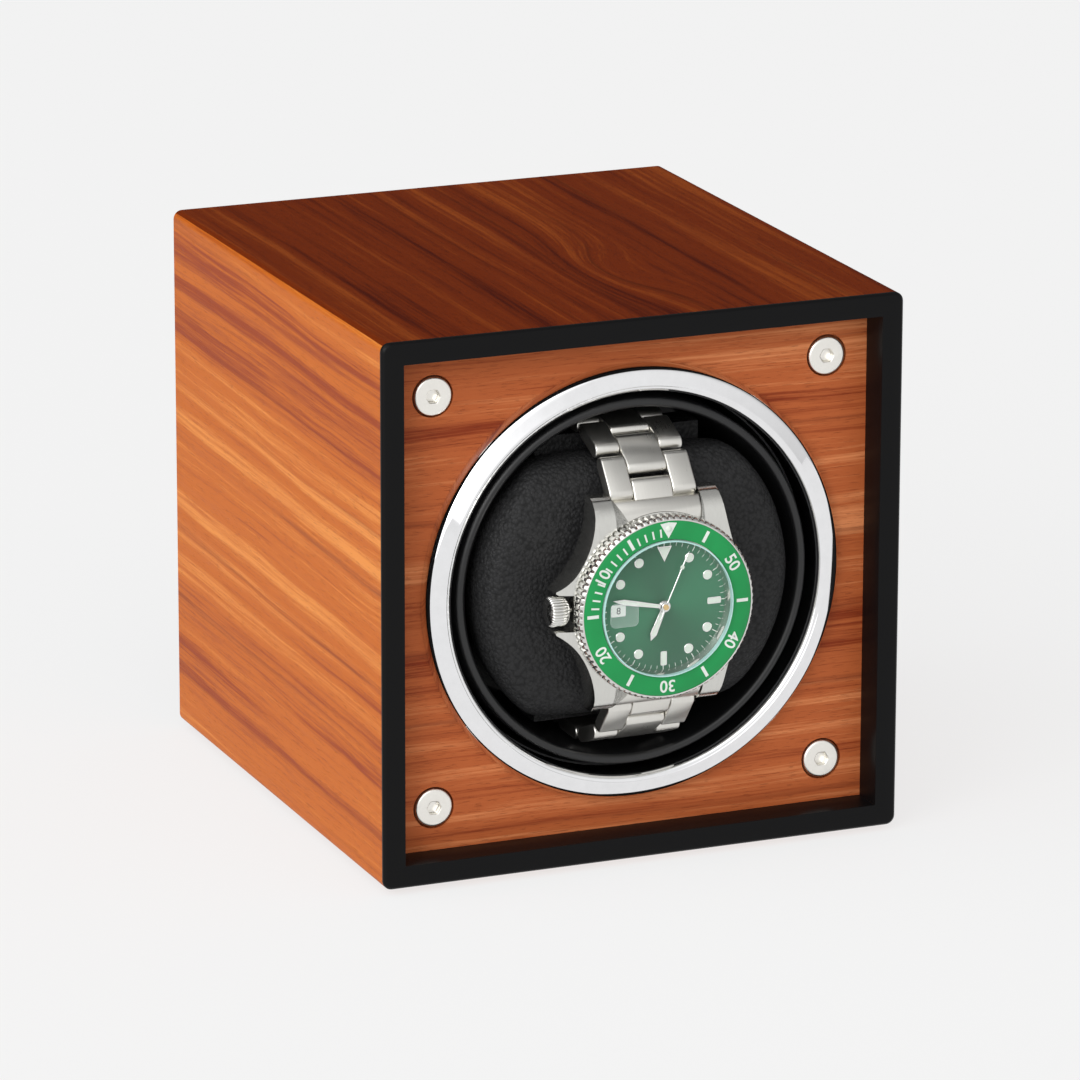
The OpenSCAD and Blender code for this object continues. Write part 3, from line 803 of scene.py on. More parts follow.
@dataclass
class Bench:
    """Turns forms into finished pieces."""

    datum: Datum
    smooth_angle: float = 35.0

    def piece(self, name: str, form: Form, finish: Finish, body: str, replaces: Sequence[str] = (),
              on_watch: bool = False) -> bpy.types.Object:
        """Makes an object of a form.

        Args:
            name: The piece's name.
            form: Its shape in the face view.
            finish: Its finish.
            body: The CAD body it rides on.
            replaces: CAD nodes it stands for.
            on_watch: Whether it was shaped about the watch's centre.

        Returns:
            The object.
        """
        form.moved(self.datum.face(on_watch))
        mesh = bpy.data.meshes.new(name)
        form.bm.to_mesh(mesh)
        form.bm.free()
        mesh.polygons.foreach_set("use_smooth", [True] * len(mesh.polygons))
        mesh.set_sharp_from_angle(angle=math.radians(self.smooth_angle))
        mesh.materials.append(finish.make())
        obj = bpy.data.objects.new(name, mesh)
        bpy.context.scene.collection.objects.link(obj)
        self.hand_over(obj, body, replaces)
        return obj

    def watch_piece(self, name: str, form: Form, finish: Finish, body: str, replaces: Sequence[str] = ()) -> bpy.types.Object:
        """Makes an object of a form that was shaped about the watch's centre; see piece."""
        return self.piece(name, form, finish, body, replaces, on_watch=True)

    def hand_over(self, obj: bpy.types.Object, body: str, replaces: Sequence[str]) -> None:
        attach(obj, body)
        if replaces:
            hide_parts(*replaces)
        LOG.info("%s: %d faces on %s", obj.name, len(obj.data.polygons), body)

    def softened(self, node: str, finish: Finish, body: str, width: float = 0.2,
                 segments: int = 2, angle: float = 35.0) -> bpy.types.Object:
        """Replaces a CAD node with a copy whose edges are rounded.

        Args:
            node: The node.
            finish: The copy's finish.
            body: Its body.
            width: The width of the rounding in millimetres.
            segments: Segments of the rounding.
            angle: The least angle that is rounded, in degrees.

        Returns:
            The copy.
        """
        form = Form.copied(node, self.datum)
        obj = self.piece(f"{node}_finished", form, finish, body, [node])
        bevel = obj.modifiers.new("soft_edges", "BEVEL")
        bevel.width, bevel.segments, bevel.limit_method = width * MM, segments, "ANGLE"
        bevel.angle_limit = math.radians(angle)
        bevel.miter_outer = "MITER_ARC"
        return obj

    def paint(self, finish: Finish, *nodes: str) -> None:
        """Gives CAD nodes a finish.

        Args:
            finish: The finish.
            nodes: The nodes' names.
        """
        for name in nodes:
            mesh = FRAME["nodes"][name].data
            mesh.materials.clear()
            mesh.materials.append(finish.make())


FRAME: dict = {}


def blended(a: Point2, control: Point2, b: Point2, steps: int = 10) -> list[Point2]:
    """Points along a sweep from a to b that leans towards a control point."""
    def mean(t: float, axis: int) -> float:
        return (1 - t) ** 2 * a[axis] + 2 * t * (1 - t) * control[axis] + t * t * b[axis]
    return [(mean(i / steps, 0), mean(i / steps, 1)) for i in range(steps + 1)]


def rings(loops: Sequence[tuple[Sequence[Point2], float]], closed: bool = True) -> Form:
    """Bridges outlines that lie at different depths.

    Args:
        loops: Outlines and their depths.
        closed: Whether the last one joins the first one again.

    Returns:
        The form.
    """
    form = Form()
    pairs = list(zip(loops, loops[1:])) + ([(loops[-1], loops[0])] if closed else [])
    for pair in pairs:
        edges = []
        for outline, depth in pair:
            verts = [form.bm.verts.new((x, y, -depth)) for x, y in outline]
            edges += [form.bm.edges.new(ends) for ends in zip(verts, verts[1:] + verts[:1])]
        bmesh.ops.bridge_loops(form.bm, edges=edges)
    return form.tidied()


def sideways(form: Form) -> Form:
    """Lays a prism of depth and height, extruded from 0 forwards, along X instead."""
    return form.moved(Matrix(((0, 0, 1, 0), (0, 1, 0, 0), (-1, 0, 0, 0), (0, 0, 0, 1))))


# ---------------------------------------------------------------- finishes in use

LEFT_VENEER = Veneer("rosewood_left", slope=-0.02, seed=3.0, heart=60.0)
RIGHT_VENEER = Veneer("rosewood_right", slope=-0.04, seed=41.0)
# The top board's colours are far darker than the other boards': painted shade for the dim light on the top,
# set into the veneer's colour.
SHADED_TOP_VENEER = Veneer("rosewood_top_painted_shade", dark=(0.062, 0.005, 0.0), middle=(0.145, 0.019, 0.001),
                    light=(0.25, 0.05, 0.006), line=(0.035, 0.003, 0.0), knot=(9.0, -20.0), seed=17.0,
                    gloss=0.04)
BASE_VENEER = Veneer("rosewood_base", seed=63.0)
FRONT_VENEER = Veneer("rosewood_front", grain=Grain.ACROSS, dark=(0.20, 0.030, 0.008),
                      middle=(0.39, 0.095, 0.028),
                      light=(0.60, 0.21, 0.08), line=(0.11, 0.015, 0.006), seed=27.0)
SATIN_BLACK = Lacquer("satin_black_lacquer", (0.0035, 0.0035, 0.0038), 0.3, specular=0.11)
GLOSS_BLACK = Lacquer("gloss_black_moulding", (0.006, 0.006, 0.0065), 0.3, peel=0.002, specular=0.5)
MATT_BLACK = Lacquer("matt_black_moulding", (0.014, 0.014, 0.015), 0.5, peel=0.012, peel_size=0.5)
RUBBER = Lacquer("black_rubber", (0.016, 0.016, 0.016), 0.75, peel=0.02, peel_size=0.4, specular=0.3)
NYLON = Lacquer("moulded_nylon", (0.72, 0.71, 0.67), 0.42, peel=0.006)
BOARD_GREEN = Lacquer("solder_mask", (0.01, 0.09, 0.035), 0.3, coat=0.3)
WIRE_RED = Lacquer("red_wire_sheath", (0.35, 0.02, 0.015), 0.45)
LED_MILK = Lacquer("led_lens_milk", (0.25, 0.6, 0.28), 0.2, coat=0.5)
CHROME = Metal("bright_chrome", (0.9, 0.9, 0.91), 0.035, 0.02, (0.4, 0.4, 0.4))
PLATED = Metal("nickel_plate", (0.92, 0.895, 0.84), 0.3, 0.1, (1.5, 1.5, 1.5))
BRASS = Metal("turned_brass", (0.78, 0.56, 0.26), 0.25)
WATCH_POLISH = Metal("polished_watch_steel", (0.74, 0.735, 0.71), 0.13, 0.05, (0.5, 0.5, 0.5))
WATCH_BRUSHED = Metal("brushed_watch_steel", (0.76, 0.745, 0.70), 0.3, 0.09, (7.0, 0.3, 0.3), 0.001)
WATCH_SATIN = Metal("satin_watch_steel", (0.69, 0.685, 0.65), 0.2, 0.06, (2.0, 0.4, 0.4))
HAND_STEEL = Metal("polished_hand_steel", (0.85, 0.85, 0.83), 0.12, 0.03)
DARK_STEEL = Metal("blackened_steel", (0.05, 0.05, 0.052), 0.35)
LEATHER = Leather("pebbled_leather", (0.018, 0.018, 0.0185))
GREEN_ENAMEL = Enamel("green_bezel_enamel", (0.008, 0.235, 0.06))
SILVER_FILL = Enamel("silver_numeral_fill", (0.62, 0.66, 0.62), 0.35)
LUME = Lacquer("lume_paint", (0.62, 0.68, 0.6), 0.5, peel=0.01, peel_size=0.3)
PRINT_WHITE = Lacquer("dial_print_white", (0.62, 0.68, 0.62), 0.5, peel=0.0)
CRYSTAL = Clear("sapphire_crystal")
CRYSTAL_EDGE = Enamel("frosted_crystal_edge", (0.42, 0.66, 0.64), 0.3)
LENS = Clear("sapphire_lens", film=0.1, rim=0.6)


# ---------------------------------------------------------------- the box


@dataclass
class Cabinet:
    """Four mitred veneered panels with softly rounded long edges."""

    half: float = 60.0
    wall: float = 4.0
    edge_r: float = 2.0
    front: float = 1.2
    back: float = 129.0

    def panel(self) -> Form:
        """Shapes the top panel; the others are turned from it."""
        inner, centre = self.half - self.wall, self.half - self.edge_r
        outline = [(-inner, inner), (inner, inner)]
        outline += arc((centre, centre), self.edge_r, 45, 90, 7)
        outline += arc((-centre, centre), self.edge_r, 90, 135, 7)
        return Form.prism(outline, self.front, self.back)

    def dress(self, bench: Bench) -> None:
        """Makes the four panels in their veneers.

        Args:
            bench: The bench that finishes pieces.
        """
        # The top board's darker veneer carries painted shade.
        for name, turn, veneer in (("top", 0, SHADED_TOP_VENEER), ("left", 90, LEFT_VENEER),
                                   ("bottom", 180, BASE_VENEER), ("right", 270, RIGHT_VENEER)):
            bench.piece(f"{name}_board", self.panel().turned_by(turn), veneer, "cabinet",
                        [f"{name}_panel"])


@dataclass
class FrontFrame:
    """The black frame: a flat band with a small chamfer outside and a skirt behind."""

    half: float = 60.0
    band: float = 5.0
    chamfer: float = 0.6
    flange: float = 1.2
    recess: float = 8.0
    skirt: float = 1.0
    corner: float = 2.0

    def build(self) -> Form:
        """Bridges the frame's square outlines from the outer edge round to the back of its flange."""
        inner = self.half - self.band
        steps = ((self.half, self.flange, self.corner), (self.half, self.chamfer + 0.08, self.corner),
                 (self.half - 0.06, self.chamfer - 0.08, self.corner),
                 (self.half - self.chamfer + 0.08, 0.06, self.corner - 0.4),
                 (self.half - self.chamfer - 0.1, 0.0, self.corner - 0.5), (inner + 0.18, 0.0, 0.3),
                 (inner + 0.05, 0.05, 0.15), (inner, 0.18, 0.1), (inner, self.recess, 0.1),
                 (inner + self.skirt, self.recess, 0.1), (inner + self.skirt, self.flange, 0.1))
        return rings([(rounded_outline(2 * half, 2 * half, corner, 6), depth)
                      for half, depth, corner in steps])

    def dress(self, bench: Bench) -> None:
        """Makes the frame in satin black."""
        bench.piece("black_frame", self.build(), SATIN_BLACK, "cabinet", ["front_frame"])


@dataclass
class TrimRing:
    """The chromed ring: a broad crowned band with a stepped inner lip."""

    bore: float = 42.5
    outer: float = 48.4
    seat: float = 8.0
    back: float = 12.6

    def build(self) -> Form:
        """Turns the ring."""
        swell = [(self.outer, 7.5)] + blended((self.outer - 0.1, 7.05), (47.75, 5.35), (46.9, 5.06), 8)
        swell += blended((46.9, 5.06), (45.3, 4.52), (44.4, 4.2), 8)[1:]
        lip = [(44.15, 4.13), (43.98, 4.13), (43.86, 4.22), (43.72, 4.26), (43.5, 4.28), (43.2, 4.45),
               (42.85, 4.8), (42.6, 5.3), (self.bore, 5.8)]
        profile = [(self.bore + 1.5, self.seat), (self.outer, self.seat)] + swell + lip
        profile += [(self.bore, self.back), (self.bore + 1.5, self.back)]
        return Form.turned(profile, 224, closed=True)

    def dress(self, bench: Bench) -> None:
        """Makes the ring in chrome."""
        bench.piece("chrome_ring", self.build(), CHROME, "cabinet", ["trim_ring"])


@dataclass
class Pillow:
    """The watch pillow: a padded leather face with flattened ends, on a leather-covered core."""

    radius: float = 37.8
    half: float = 31.8
    face: float = 1.2
    back: float = 16.0
    fill: float = 0.7
    shoulder: float = 6.5
    voxel: float = 1.15
    swell: float = 1.5
    wrinkle: float = 0.3
    wrinkle_pace: float = 0.06
    relaxing: int = 6

    def blank(self) -> Form:
        """Shapes the face before it is filled, a little under size."""
        radius, front, shoulder = self.radius - 1.4, self.face + 1.6, self.shoulder
        profile = [(0.0, self.back)] + [(radius - 0.6, self.back)]
        profile += [(radius - shoulder + shoulder * math.cos(math.radians(a)),
                     front + shoulder - shoulder * math.sin(math.radians(a))) for a in range(0, 91, 10)]
        profile += [(22.0, front - 0.3), (11.0, front - 0.45), (0.0, front - 0.5)]
        form = Form.turned(profile, 128)
        bend, limit = 10.0, self.half - 1.1

        def flattened(co: Vector) -> Vector:
            depth = -co.z
            reach = limit
            if depth < front + bend:
                reach = limit - bend + math.sqrt(max(bend ** 2 - (front + bend - depth) ** 2, 0.0))
            side = math.sqrt(max(1.0 - min((co.x / self.radius) ** 2, 1.0), 0.0)) * self.radius
            share = min(1.0, reach / max(side, 0.001))
            return Vector((co.x, co.y * share, co.z))
        return form.bent(flattened)

    def swollen(self, obj: bpy.types.Object) -> None:
        """Fills the leather face by a cloth simulation and applies it.

        Args:
            obj: The face's object.
        """
        mesh = obj.data
        start = [v.co.copy() for v in mesh.vertices]
        cloth = obj.modifiers.new("filling", "CLOTH")
        settings = cloth.settings
        settings.quality = 6
        settings.mass = 0.25
        settings.use_pressure = True
        settings.uniform_pressure_force = 4.0
        settings.tension_stiffness = settings.compression_stiffness = 30.0
        settings.shear_stiffness = 12.0
        settings.bending_stiffness = 2.0
        settings.effector_weights.gravity = 0.0
        cloth.collision_settings.use_collision = False
        cloth.collision_settings.use_self_collision = False
        scene = bpy.context.scene
        for step in range(1, 21):
            scene.frame_set(step)
        bpy.context.view_layer.update()
        result = obj.evaluated_get(bpy.context.evaluated_depsgraph_get()).data
        moves = [result.vertices[i].co - start[i] for i in range(len(start))]
        obj.modifiers.remove(cloth)
        scene.frame_set(1)
        cap = self.swell * MM
        for vert, at, move in zip(mesh.vertices, start, moves):
            vert.co = at + (move * (cap / move.length) if move.length > cap else move)

    def build_face(self, bench: Bench) -> None:
        """Makes the padded leather face."""
        form = self.blank()
        obj = bench.piece("leather_face", form, LEATHER, "pillow", ["pillow_cover"])
        leather = obj.data.materials[0]
        remesh = obj.modifiers.new("even", "REMESH")
        remesh.mode, remesh.voxel_size = "VOXEL", self.voxel * MM
        even = bpy.data.meshes.new_from_object(obj.evaluated_get(bpy.context.evaluated_depsgraph_get()))
        obj.modifiers.remove(remesh)
        even.materials.clear()
        even.materials.append(leather)
        obj.data = even
        self.swollen(obj)
        self.creased(obj)
        even.polygons.foreach_set("use_smooth", [True] * len(even.polygons))

    def creased(self, obj: bpy.types.Object) -> None:
        """Relaxes the filled leather and adds shallow wrinkles.

        Args:
            obj: The face's object.
        """
        bm = bmesh.new()
        bm.from_mesh(obj.data)
        for _ in range(self.relaxing):
            bmesh.ops.smooth_vert(bm, verts=bm.verts, factor=0.5, use_axis_x=True, use_axis_y=True,
                                  use_axis_z=True)
        bm.normal_update()
        for vert in bm.verts:
            spot = vert.co / MM
            wave = noise.noise(Vector(tuple(v * self.wrinkle_pace for v in spot)))
            vert.co += vert.normal * (wave * self.wrinkle * MM)
        bm.to_mesh(obj.data)
        bm.free()

    def build_core(self, bench: Bench) -> None:
        """Makes the core that the bracelet goes round, with its pegs."""
        obj = bench.softened("pillow_core", LEATHER, "pillow", 0.7, 4, 30.0)

    def dress(self, bench: Bench) -> None:
        """Makes the face and the core."""
        self.build_face(bench)
        self.build_core(bench)


# ---------------------------------------------------------------- the watch


@dataclass
class BandPath:
    """The middle line of the bracelet's top half, as depth and height."""

    front_r: float = 21.7
    front_turn: float = 66.0
    back_r: float = 20.0
    top: float = 34.4
    bend_front: float = 16.6
    bend_back: float = 22.0
    first: float = 2.85
    pitch: float = 5.5
    end_half: float = 15.4

    def at(self, length: float) -> Point2:
        """The point at a length along the line.

        Args:
            length: Millimetres from the end link.

        Returns:
            Its depth and height.
        """
        bent = math.radians(self.front_turn) * self.front_r
        if length < bent:
            a = math.radians(self.front_turn) - length / self.front_r
            return (self.bend_front - self.front_r * math.sin(a),
                    self.top - self.front_r + self.front_r * math.cos(a))
        straight = self.bend_back - self.bend_front
        if length < bent + straight:
            return (self.bend_front + length - bent, self.top)
        a = min(math.pi / 2, (length - bent - straight) / self.back_r)
        return (self.bend_back + self.back_r * math.sin(a),
                self.top - self.back_r + self.back_r * math.cos(a))

    def pin(self, k: int) -> Point2:
        """The centre of the k-th link pin."""
        return self.at(self.first + self.pitch * k)


@dataclass
class Bracelet:
    """Three rows of links, end links and a folding clasp, closed round the pillow."""

    path: BandPath = field(default_factory=BandPath)
    width: float = 20.0
    thickness: float = 3.2
    centre_width: float = 8.9
    outer_in: float = 4.55
    reach: float = 0.75
    case_r: float = 20.03

    def bar(self, p: Point2, q: Point2, low: float, high: float, bevel: float = 0.34) -> Form:
        """A link: a bar between two pins with rounded ends and softened edges.

        Args:
            p: The first pin's depth and height.
            q: The second pin's.
            low: Its least X.
            high: Its greatest X.
            bevel: The width of its bevelled edges.

        Returns:
            The link.
        """
        run = math.hypot(q[0] - p[0], q[1] - p[1])
        radius, end = self.thickness / 2, self.reach
        outline = arc((run + end, 0.0), radius, -90, 90, 8) + arc((-end, 0.0), radius, 90, 270, 8)
        form = Form.prism(outline, 0.0, high - low)
        form.bevelled(bevel, 3, 60.0)
        angle = math.atan2(q[1] - p[1], q[0] - p[0])
        place = Matrix.Translation((p[0], p[1], 0.0)) @ Matrix.Rotation(angle, 4, "Z")
        return sideways(form.moved(place)).shifted(x=high)

    def row(self, numbers: Sequence[int], spans: Sequence[Point2]) -> Form:
        """All the links of one kind, in both halves.

        Args:
            numbers: Which pins the links start at.
            spans: The least and greatest X of each link.

        Returns:
            The links.
        """
        whole = Form()
        for k in numbers:
            for low, high in spans:
                link = self.bar(self.path.pin(k), self.path.pin(k + 1), low, high)
                whole.with_parts([link.mirrored(across=False), link])
        return whole

    def ends(self) -> Form:
        """The end links: a shoulder between the lugs and a tongue for the first centre link."""
        start = self.path.at(0.0)
        lean = math.radians(self.path.front_turn)
        out = (-math.sin(lean) * self.thickness / 2, math.cos(lean) * self.thickness / 2)
        outer = arc((0.0, 0.0), self.case_r, 60.7, 119.3, 14)
        low = [(-self.width / 2 + 0.2, 22.6), (self.width / 2 - 0.2, 22.6)]
        form = Form.prism(low + outer, -8.3, -1.7)
        for height in (20.0, 20.7, 21.4, 22.0):
            form.cut((0.0, height, 0.0), (0.0, 1.0, 0.0))
        front_line = ((17.0, -7.95), (19.0, -7.7), (20.6, -6.95),
                      (start[1] + out[1] + 0.9, start[0] + out[0] - 0.2))
        peak = start[1] + out[1]

        def crowned(co: Vector) -> Vector:
            depth = -co.z
            top = interpolate(front_line, co.y)
            base = interpolate(((17.0, -1.7), (20.0, -2.6), (22.6, start[0] - out[0])), co.y)
            share = (depth + 8.3) / 6.6
            return Vector((co.x, min(co.y, peak + 0.2), -(top + (base - top) * share)))
        form.bent(crowned)
        form.bevelled(0.25, 2, 50.0)
        tongue = self.bar(start, self.path.pin(0), -self.centre_width / 2, self.centre_width / 2)
        form.with_parts([tongue])
        return form.with_parts([form.mirrored(across=False)])

    def clasp(self) -> Form:
        """The clasp's cover, folded plates and side lugs."""
        depth = self.path.bend_back + self.path.back_r
        half, wide = self.path.end_half, self.width / 2 + 0.4
        cover = Form.block((2 * wide, 2 * half, 1.3), (0.0, 0.0, depth + 0.95)).bevelled(0.45, 4, 60.0)
        inner = Form.block((2 * wide - 1.6, 2 * half - 1.2, 1.2), (0.0, 0.0, depth - 0.85))
        inner.bevelled(0.3, 2, 60.0)
        spine = Form.block((2 * wide - 3.0, 2 * half - 3.0, 1.0), (0.0, 0.0, depth)).bevelled(0.2, 2, 60.0)
        flap = Form.block((2 * wide - 2.4, 9.0, 0.5), (0.0, -6.0, depth + 1.5)).bevelled(0.2, 2, 60.0)
        whole = Form().with_parts([cover, inner, spine, flap])
        last = self.path.pin(10)
        for low, high in ((-self.width / 2, -self.outer_in), (self.outer_in, self.width / 2)):
            lug = self.bar((depth, half), last, low, high)
            whole.with_parts([lug.mirrored(across=False), lug])
        return whole

    def dress(self, bench: Bench) -> None:
        """Makes the links, the end links and the clasp."""
        sides = ((-self.width / 2, -self.outer_in), (self.outer_in, self.width / 2))
        half = self.centre_width / 2
        for name, form, node in (
                ("side_links", self.row(range(0, 9, 2), sides), "outer_links"),
                ("middle_links", self.row(range(1, 10, 2), ((-half, half),)), "centre_links"),
                ("shoulder_links", self.ends(), "end_links"), ("folding_clasp", self.clasp(), "clasp")):
            bench.watch_piece(name, form, WATCH_BRUSHED, "pillow", [node])
        bench.paint(WATCH_POLISH, "link_pins")


def interpolate(line: Sequence[Point2], at: float) -> float:
    """Reads a broken line of rising places.

    Args:
        line: Its points.
        at: The place.

    Returns:
        The value there, held past the ends.
    """
    if at <= line[0][0]:
        return line[0][1]
    for (a, low), (b, high) in zip(line, line[1:]):
        if at <= b:
            return low + (high - low) * (at - a) / (b - a)
    return line[-1][1]


@dataclass
class WatchCase:
    """The steel case: round middle, swept lugs and the guards beside the crown."""

    radius: float = 20.0
    bore: float = 15.5
    front: float = -8.5
    back: float = -1.5
    lug_in: float = 10.2
    lug_out: float = 14.4
    lug_tip: float = 23.5
    guard_tip: float = 23.5
    upper: tuple[Point2, ...] = ((15.0, -8.5), (18.5, -8.05), (20.2, -7.45), (21.6, -6.5), (22.8, -5.2),
                                 (23.3, -4.3), (23.6, -3.2))
    lower: tuple[Point2, ...] = ((18.5, -1.5), (20.5, -1.15), (22.8, -0.62), (23.6, -0.9))

    def plan(self) -> list[Point2]:
        """The outline of the case seen from the front, counter-clockwise from the right."""
        flank = math.degrees(math.asin(9.0 / self.radius))
        mouth = math.degrees(math.acos(self.lug_in / self.radius))
        crown = math.degrees(math.asin(4.0 / self.radius))
        side = arc((0, 0), self.radius, 0, flank, 6)
        side += blended(side[-1], (15.25, 14.2), (self.lug_out, self.lug_tip), 9)[1:]
        side += [(self.lug_in, self.lug_tip)] + arc((0, 0), self.radius, mouth, 180 - mouth, 14)
        side += [(-self.lug_in, self.lug_tip), (-self.lug_out, self.lug_tip)]
        side += blended((-self.lug_out, self.lug_tip), (-15.4, 9.4), (-self.guard_tip, 4.75), 14)[1:]
        side += [(-self.guard_tip - 0.1, 4.4), (-self.guard_tip + 0.5, 4.05)]
        side += arc((0, 0), self.radius, 180 - crown, 180, 3)
        return side + [(x, -y) for x, y in reversed(side[1:-1])]

    def body(self) -> Form:
        """Shapes the case's middle with its lugs, falling away towards their tips."""
        outline = self.plan()
        bore = arc((0, 0), self.bore, 0, 360 - 360 / 96, 95)
        form = rings([(outline, self.back), (outline, self.front), (bore, self.front), (bore, self.back)])
        for height in (15.0, 16.5, 18.0, 19.2, 20.2, 21.0, 21.6, 22.2, 22.8, 23.2):
            for side in (-1.0, 1.0):
                form.cut((0.0, side * height, 0.0), (0.0, 1.0, 0.0))
        for across in (-20.3, -21.6, -22.8):
            form.cut((across, 0.0, 0.0), (1.0, 0.0, 0.0))

        def swept(co: Vector) -> Vector:
            out, depth = abs(co.y), -co.z
            front = interpolate(self.upper, out)
            back = interpolate(self.lower, out)
            if co.x < -19.5:
                ease = min((-19.5 - co.x) / 4.0, 1.0)
                front += 1.4 * ease ** 1.5
                back -= 0.9 * ease
            share = (depth - self.front) / (self.back - self.front)
            return Vector((co.x, co.y, -(front + (back - front) * share)))
        form.bent(swept)

        def rim(edge: bmesh.types.BMEdge) -> bool:
            middle = (edge.verts[0].co + edge.verts[1].co) / 2
            return middle.xy.length > self.bore + 0.5 and abs(middle.x) > self.lug_in + 0.1
        return form.bevelled(0.42, 3, 48.0, rim)

    def dress(self, bench: Bench) -> None:
        """Makes the case with its neck, in satin steel."""
        neck = Form.turned([(15.5, -8.0), (15.5, -11.55), (15.65, -11.7), (16.15, -11.7), (16.3, -11.55),
                            (16.3, -8.0)], 144, closed=True)
        bench.watch_piece("case_middle", self.body().with_parts([neck]), WATCH_SATIN, "pillow",
                          ["watch_case"])
        bench.softened("watch_caseback", WATCH_SATIN, "pillow", 0.12, 2, 40.0)
        bench.paint(BRASS, "watch_movement", "winding_weight")


@dataclass
class Bezel:
    """The coin-edged turning bezel with its enamelled minute ring."""

    outer: float = 20.25
    inner: float = 16.6
    front: float = -12.1
    back: float = -8.8
    flutes: int = 84
    groove: float = 0.55
    ring_in: float = 15.15
    ring_out: float = 19.28
    ring_back: float = -11.42

    def rim(self) -> Form:
        """Turns the bezel and presses the flutes into its edge."""
        front, back = self.front, self.back
        profile = [(self.inner, back), (self.inner, self.ring_back), (self.ring_out, self.ring_back),
                   (self.ring_out + 0.02, front + 0.04), (19.42, front), (19.6, front + 0.06),
                   (19.95, front + 0.42),
                   (self.outer - 0.04, front + 0.95), (self.outer, front + 1.3), (self.outer, back - 0.3),
                   (self.outer - 0.12, back - 0.05), (19.6, back)]
        form = Form.turned(profile, self.flutes * 8, closed=True)
        return form.fluted(self.flutes, 19.7, 0.3, lambda wave: max(1.0 - wave * 1.6, 0.0) * self.groove)

    def ring(self) -> Form:
        """Turns the enamelled ring, a little sunk and softly crowned."""
        low, high = self.ring_in, self.ring_out - 0.02
        profile = [(self.inner + 0.05, self.ring_back), (self.inner + 0.05, -11.8), (low, -11.8),
                   (low, -12.06),
                   (low + 0.1, -12.14), ((low + high) / 2, -12.17), (high - 0.12, -12.08), (high, -12.0),
                   (high, self.ring_back)]
        return Form.turned(profile, 192, closed=True)

    def minutes(self) -> Form:
        """The silver bars, ticks, numerals and triangle on the enamel."""
        whole, middle, thick = Form(), (self.ring_in + self.ring_out) / 2, 0.15
        for minute in range(0, 60, 5):
            if minute == 0:
                mark = Form.prism([(-1.9, 18.75), (0.0, 15.5), (1.9, 18.75), (0.0, 19.0)], -thick, 0.0)
            elif minute % 10:
                mark = Form.block((0.72, 2.6, thick), (0.0, middle, -thick / 2))
            else:
                mark = Form.lettered(str(minute), 3.7, 0.05, thick).shifted(y=middle)
            whole.with_parts([mark.turned_by(6.0 * minute)])
        for minute in range(1, 15):
            if minute % 5:
                tick = Form.block((0.38, 1.8, thick), (0.0, middle - 0.4, -thick / 2))
                whole.with_parts([tick.turned_by(6.0 * minute)])
        return whole.shifted(depth=self.front + 0.04)

    def dress(self, bench: Bench) -> None:
        """Makes the bezel, its ring and the marks."""
        bench.watch_piece("coin_bezel", self.rim(), WATCH_POLISH, "bezel", ["watch_bezel"])
        bench.watch_piece("enamel_ring", self.ring(), GREEN_ENAMEL, "bezel", ["bezel_insert"])
        bench.watch_piece("minute_marks", self.minutes(), SILVER_FILL, "bezel")
        pearl = Form.turned([(0.0, -12.5), (0.3, -12.47), (0.55, -12.38), (0.7, -12.2), (0.7, -12.0),
                             (0.0, -12.0)], 24)
        bench.watch_piece("twelve_pearl", pearl.shifted(y=17.6), LUME, "bezel")


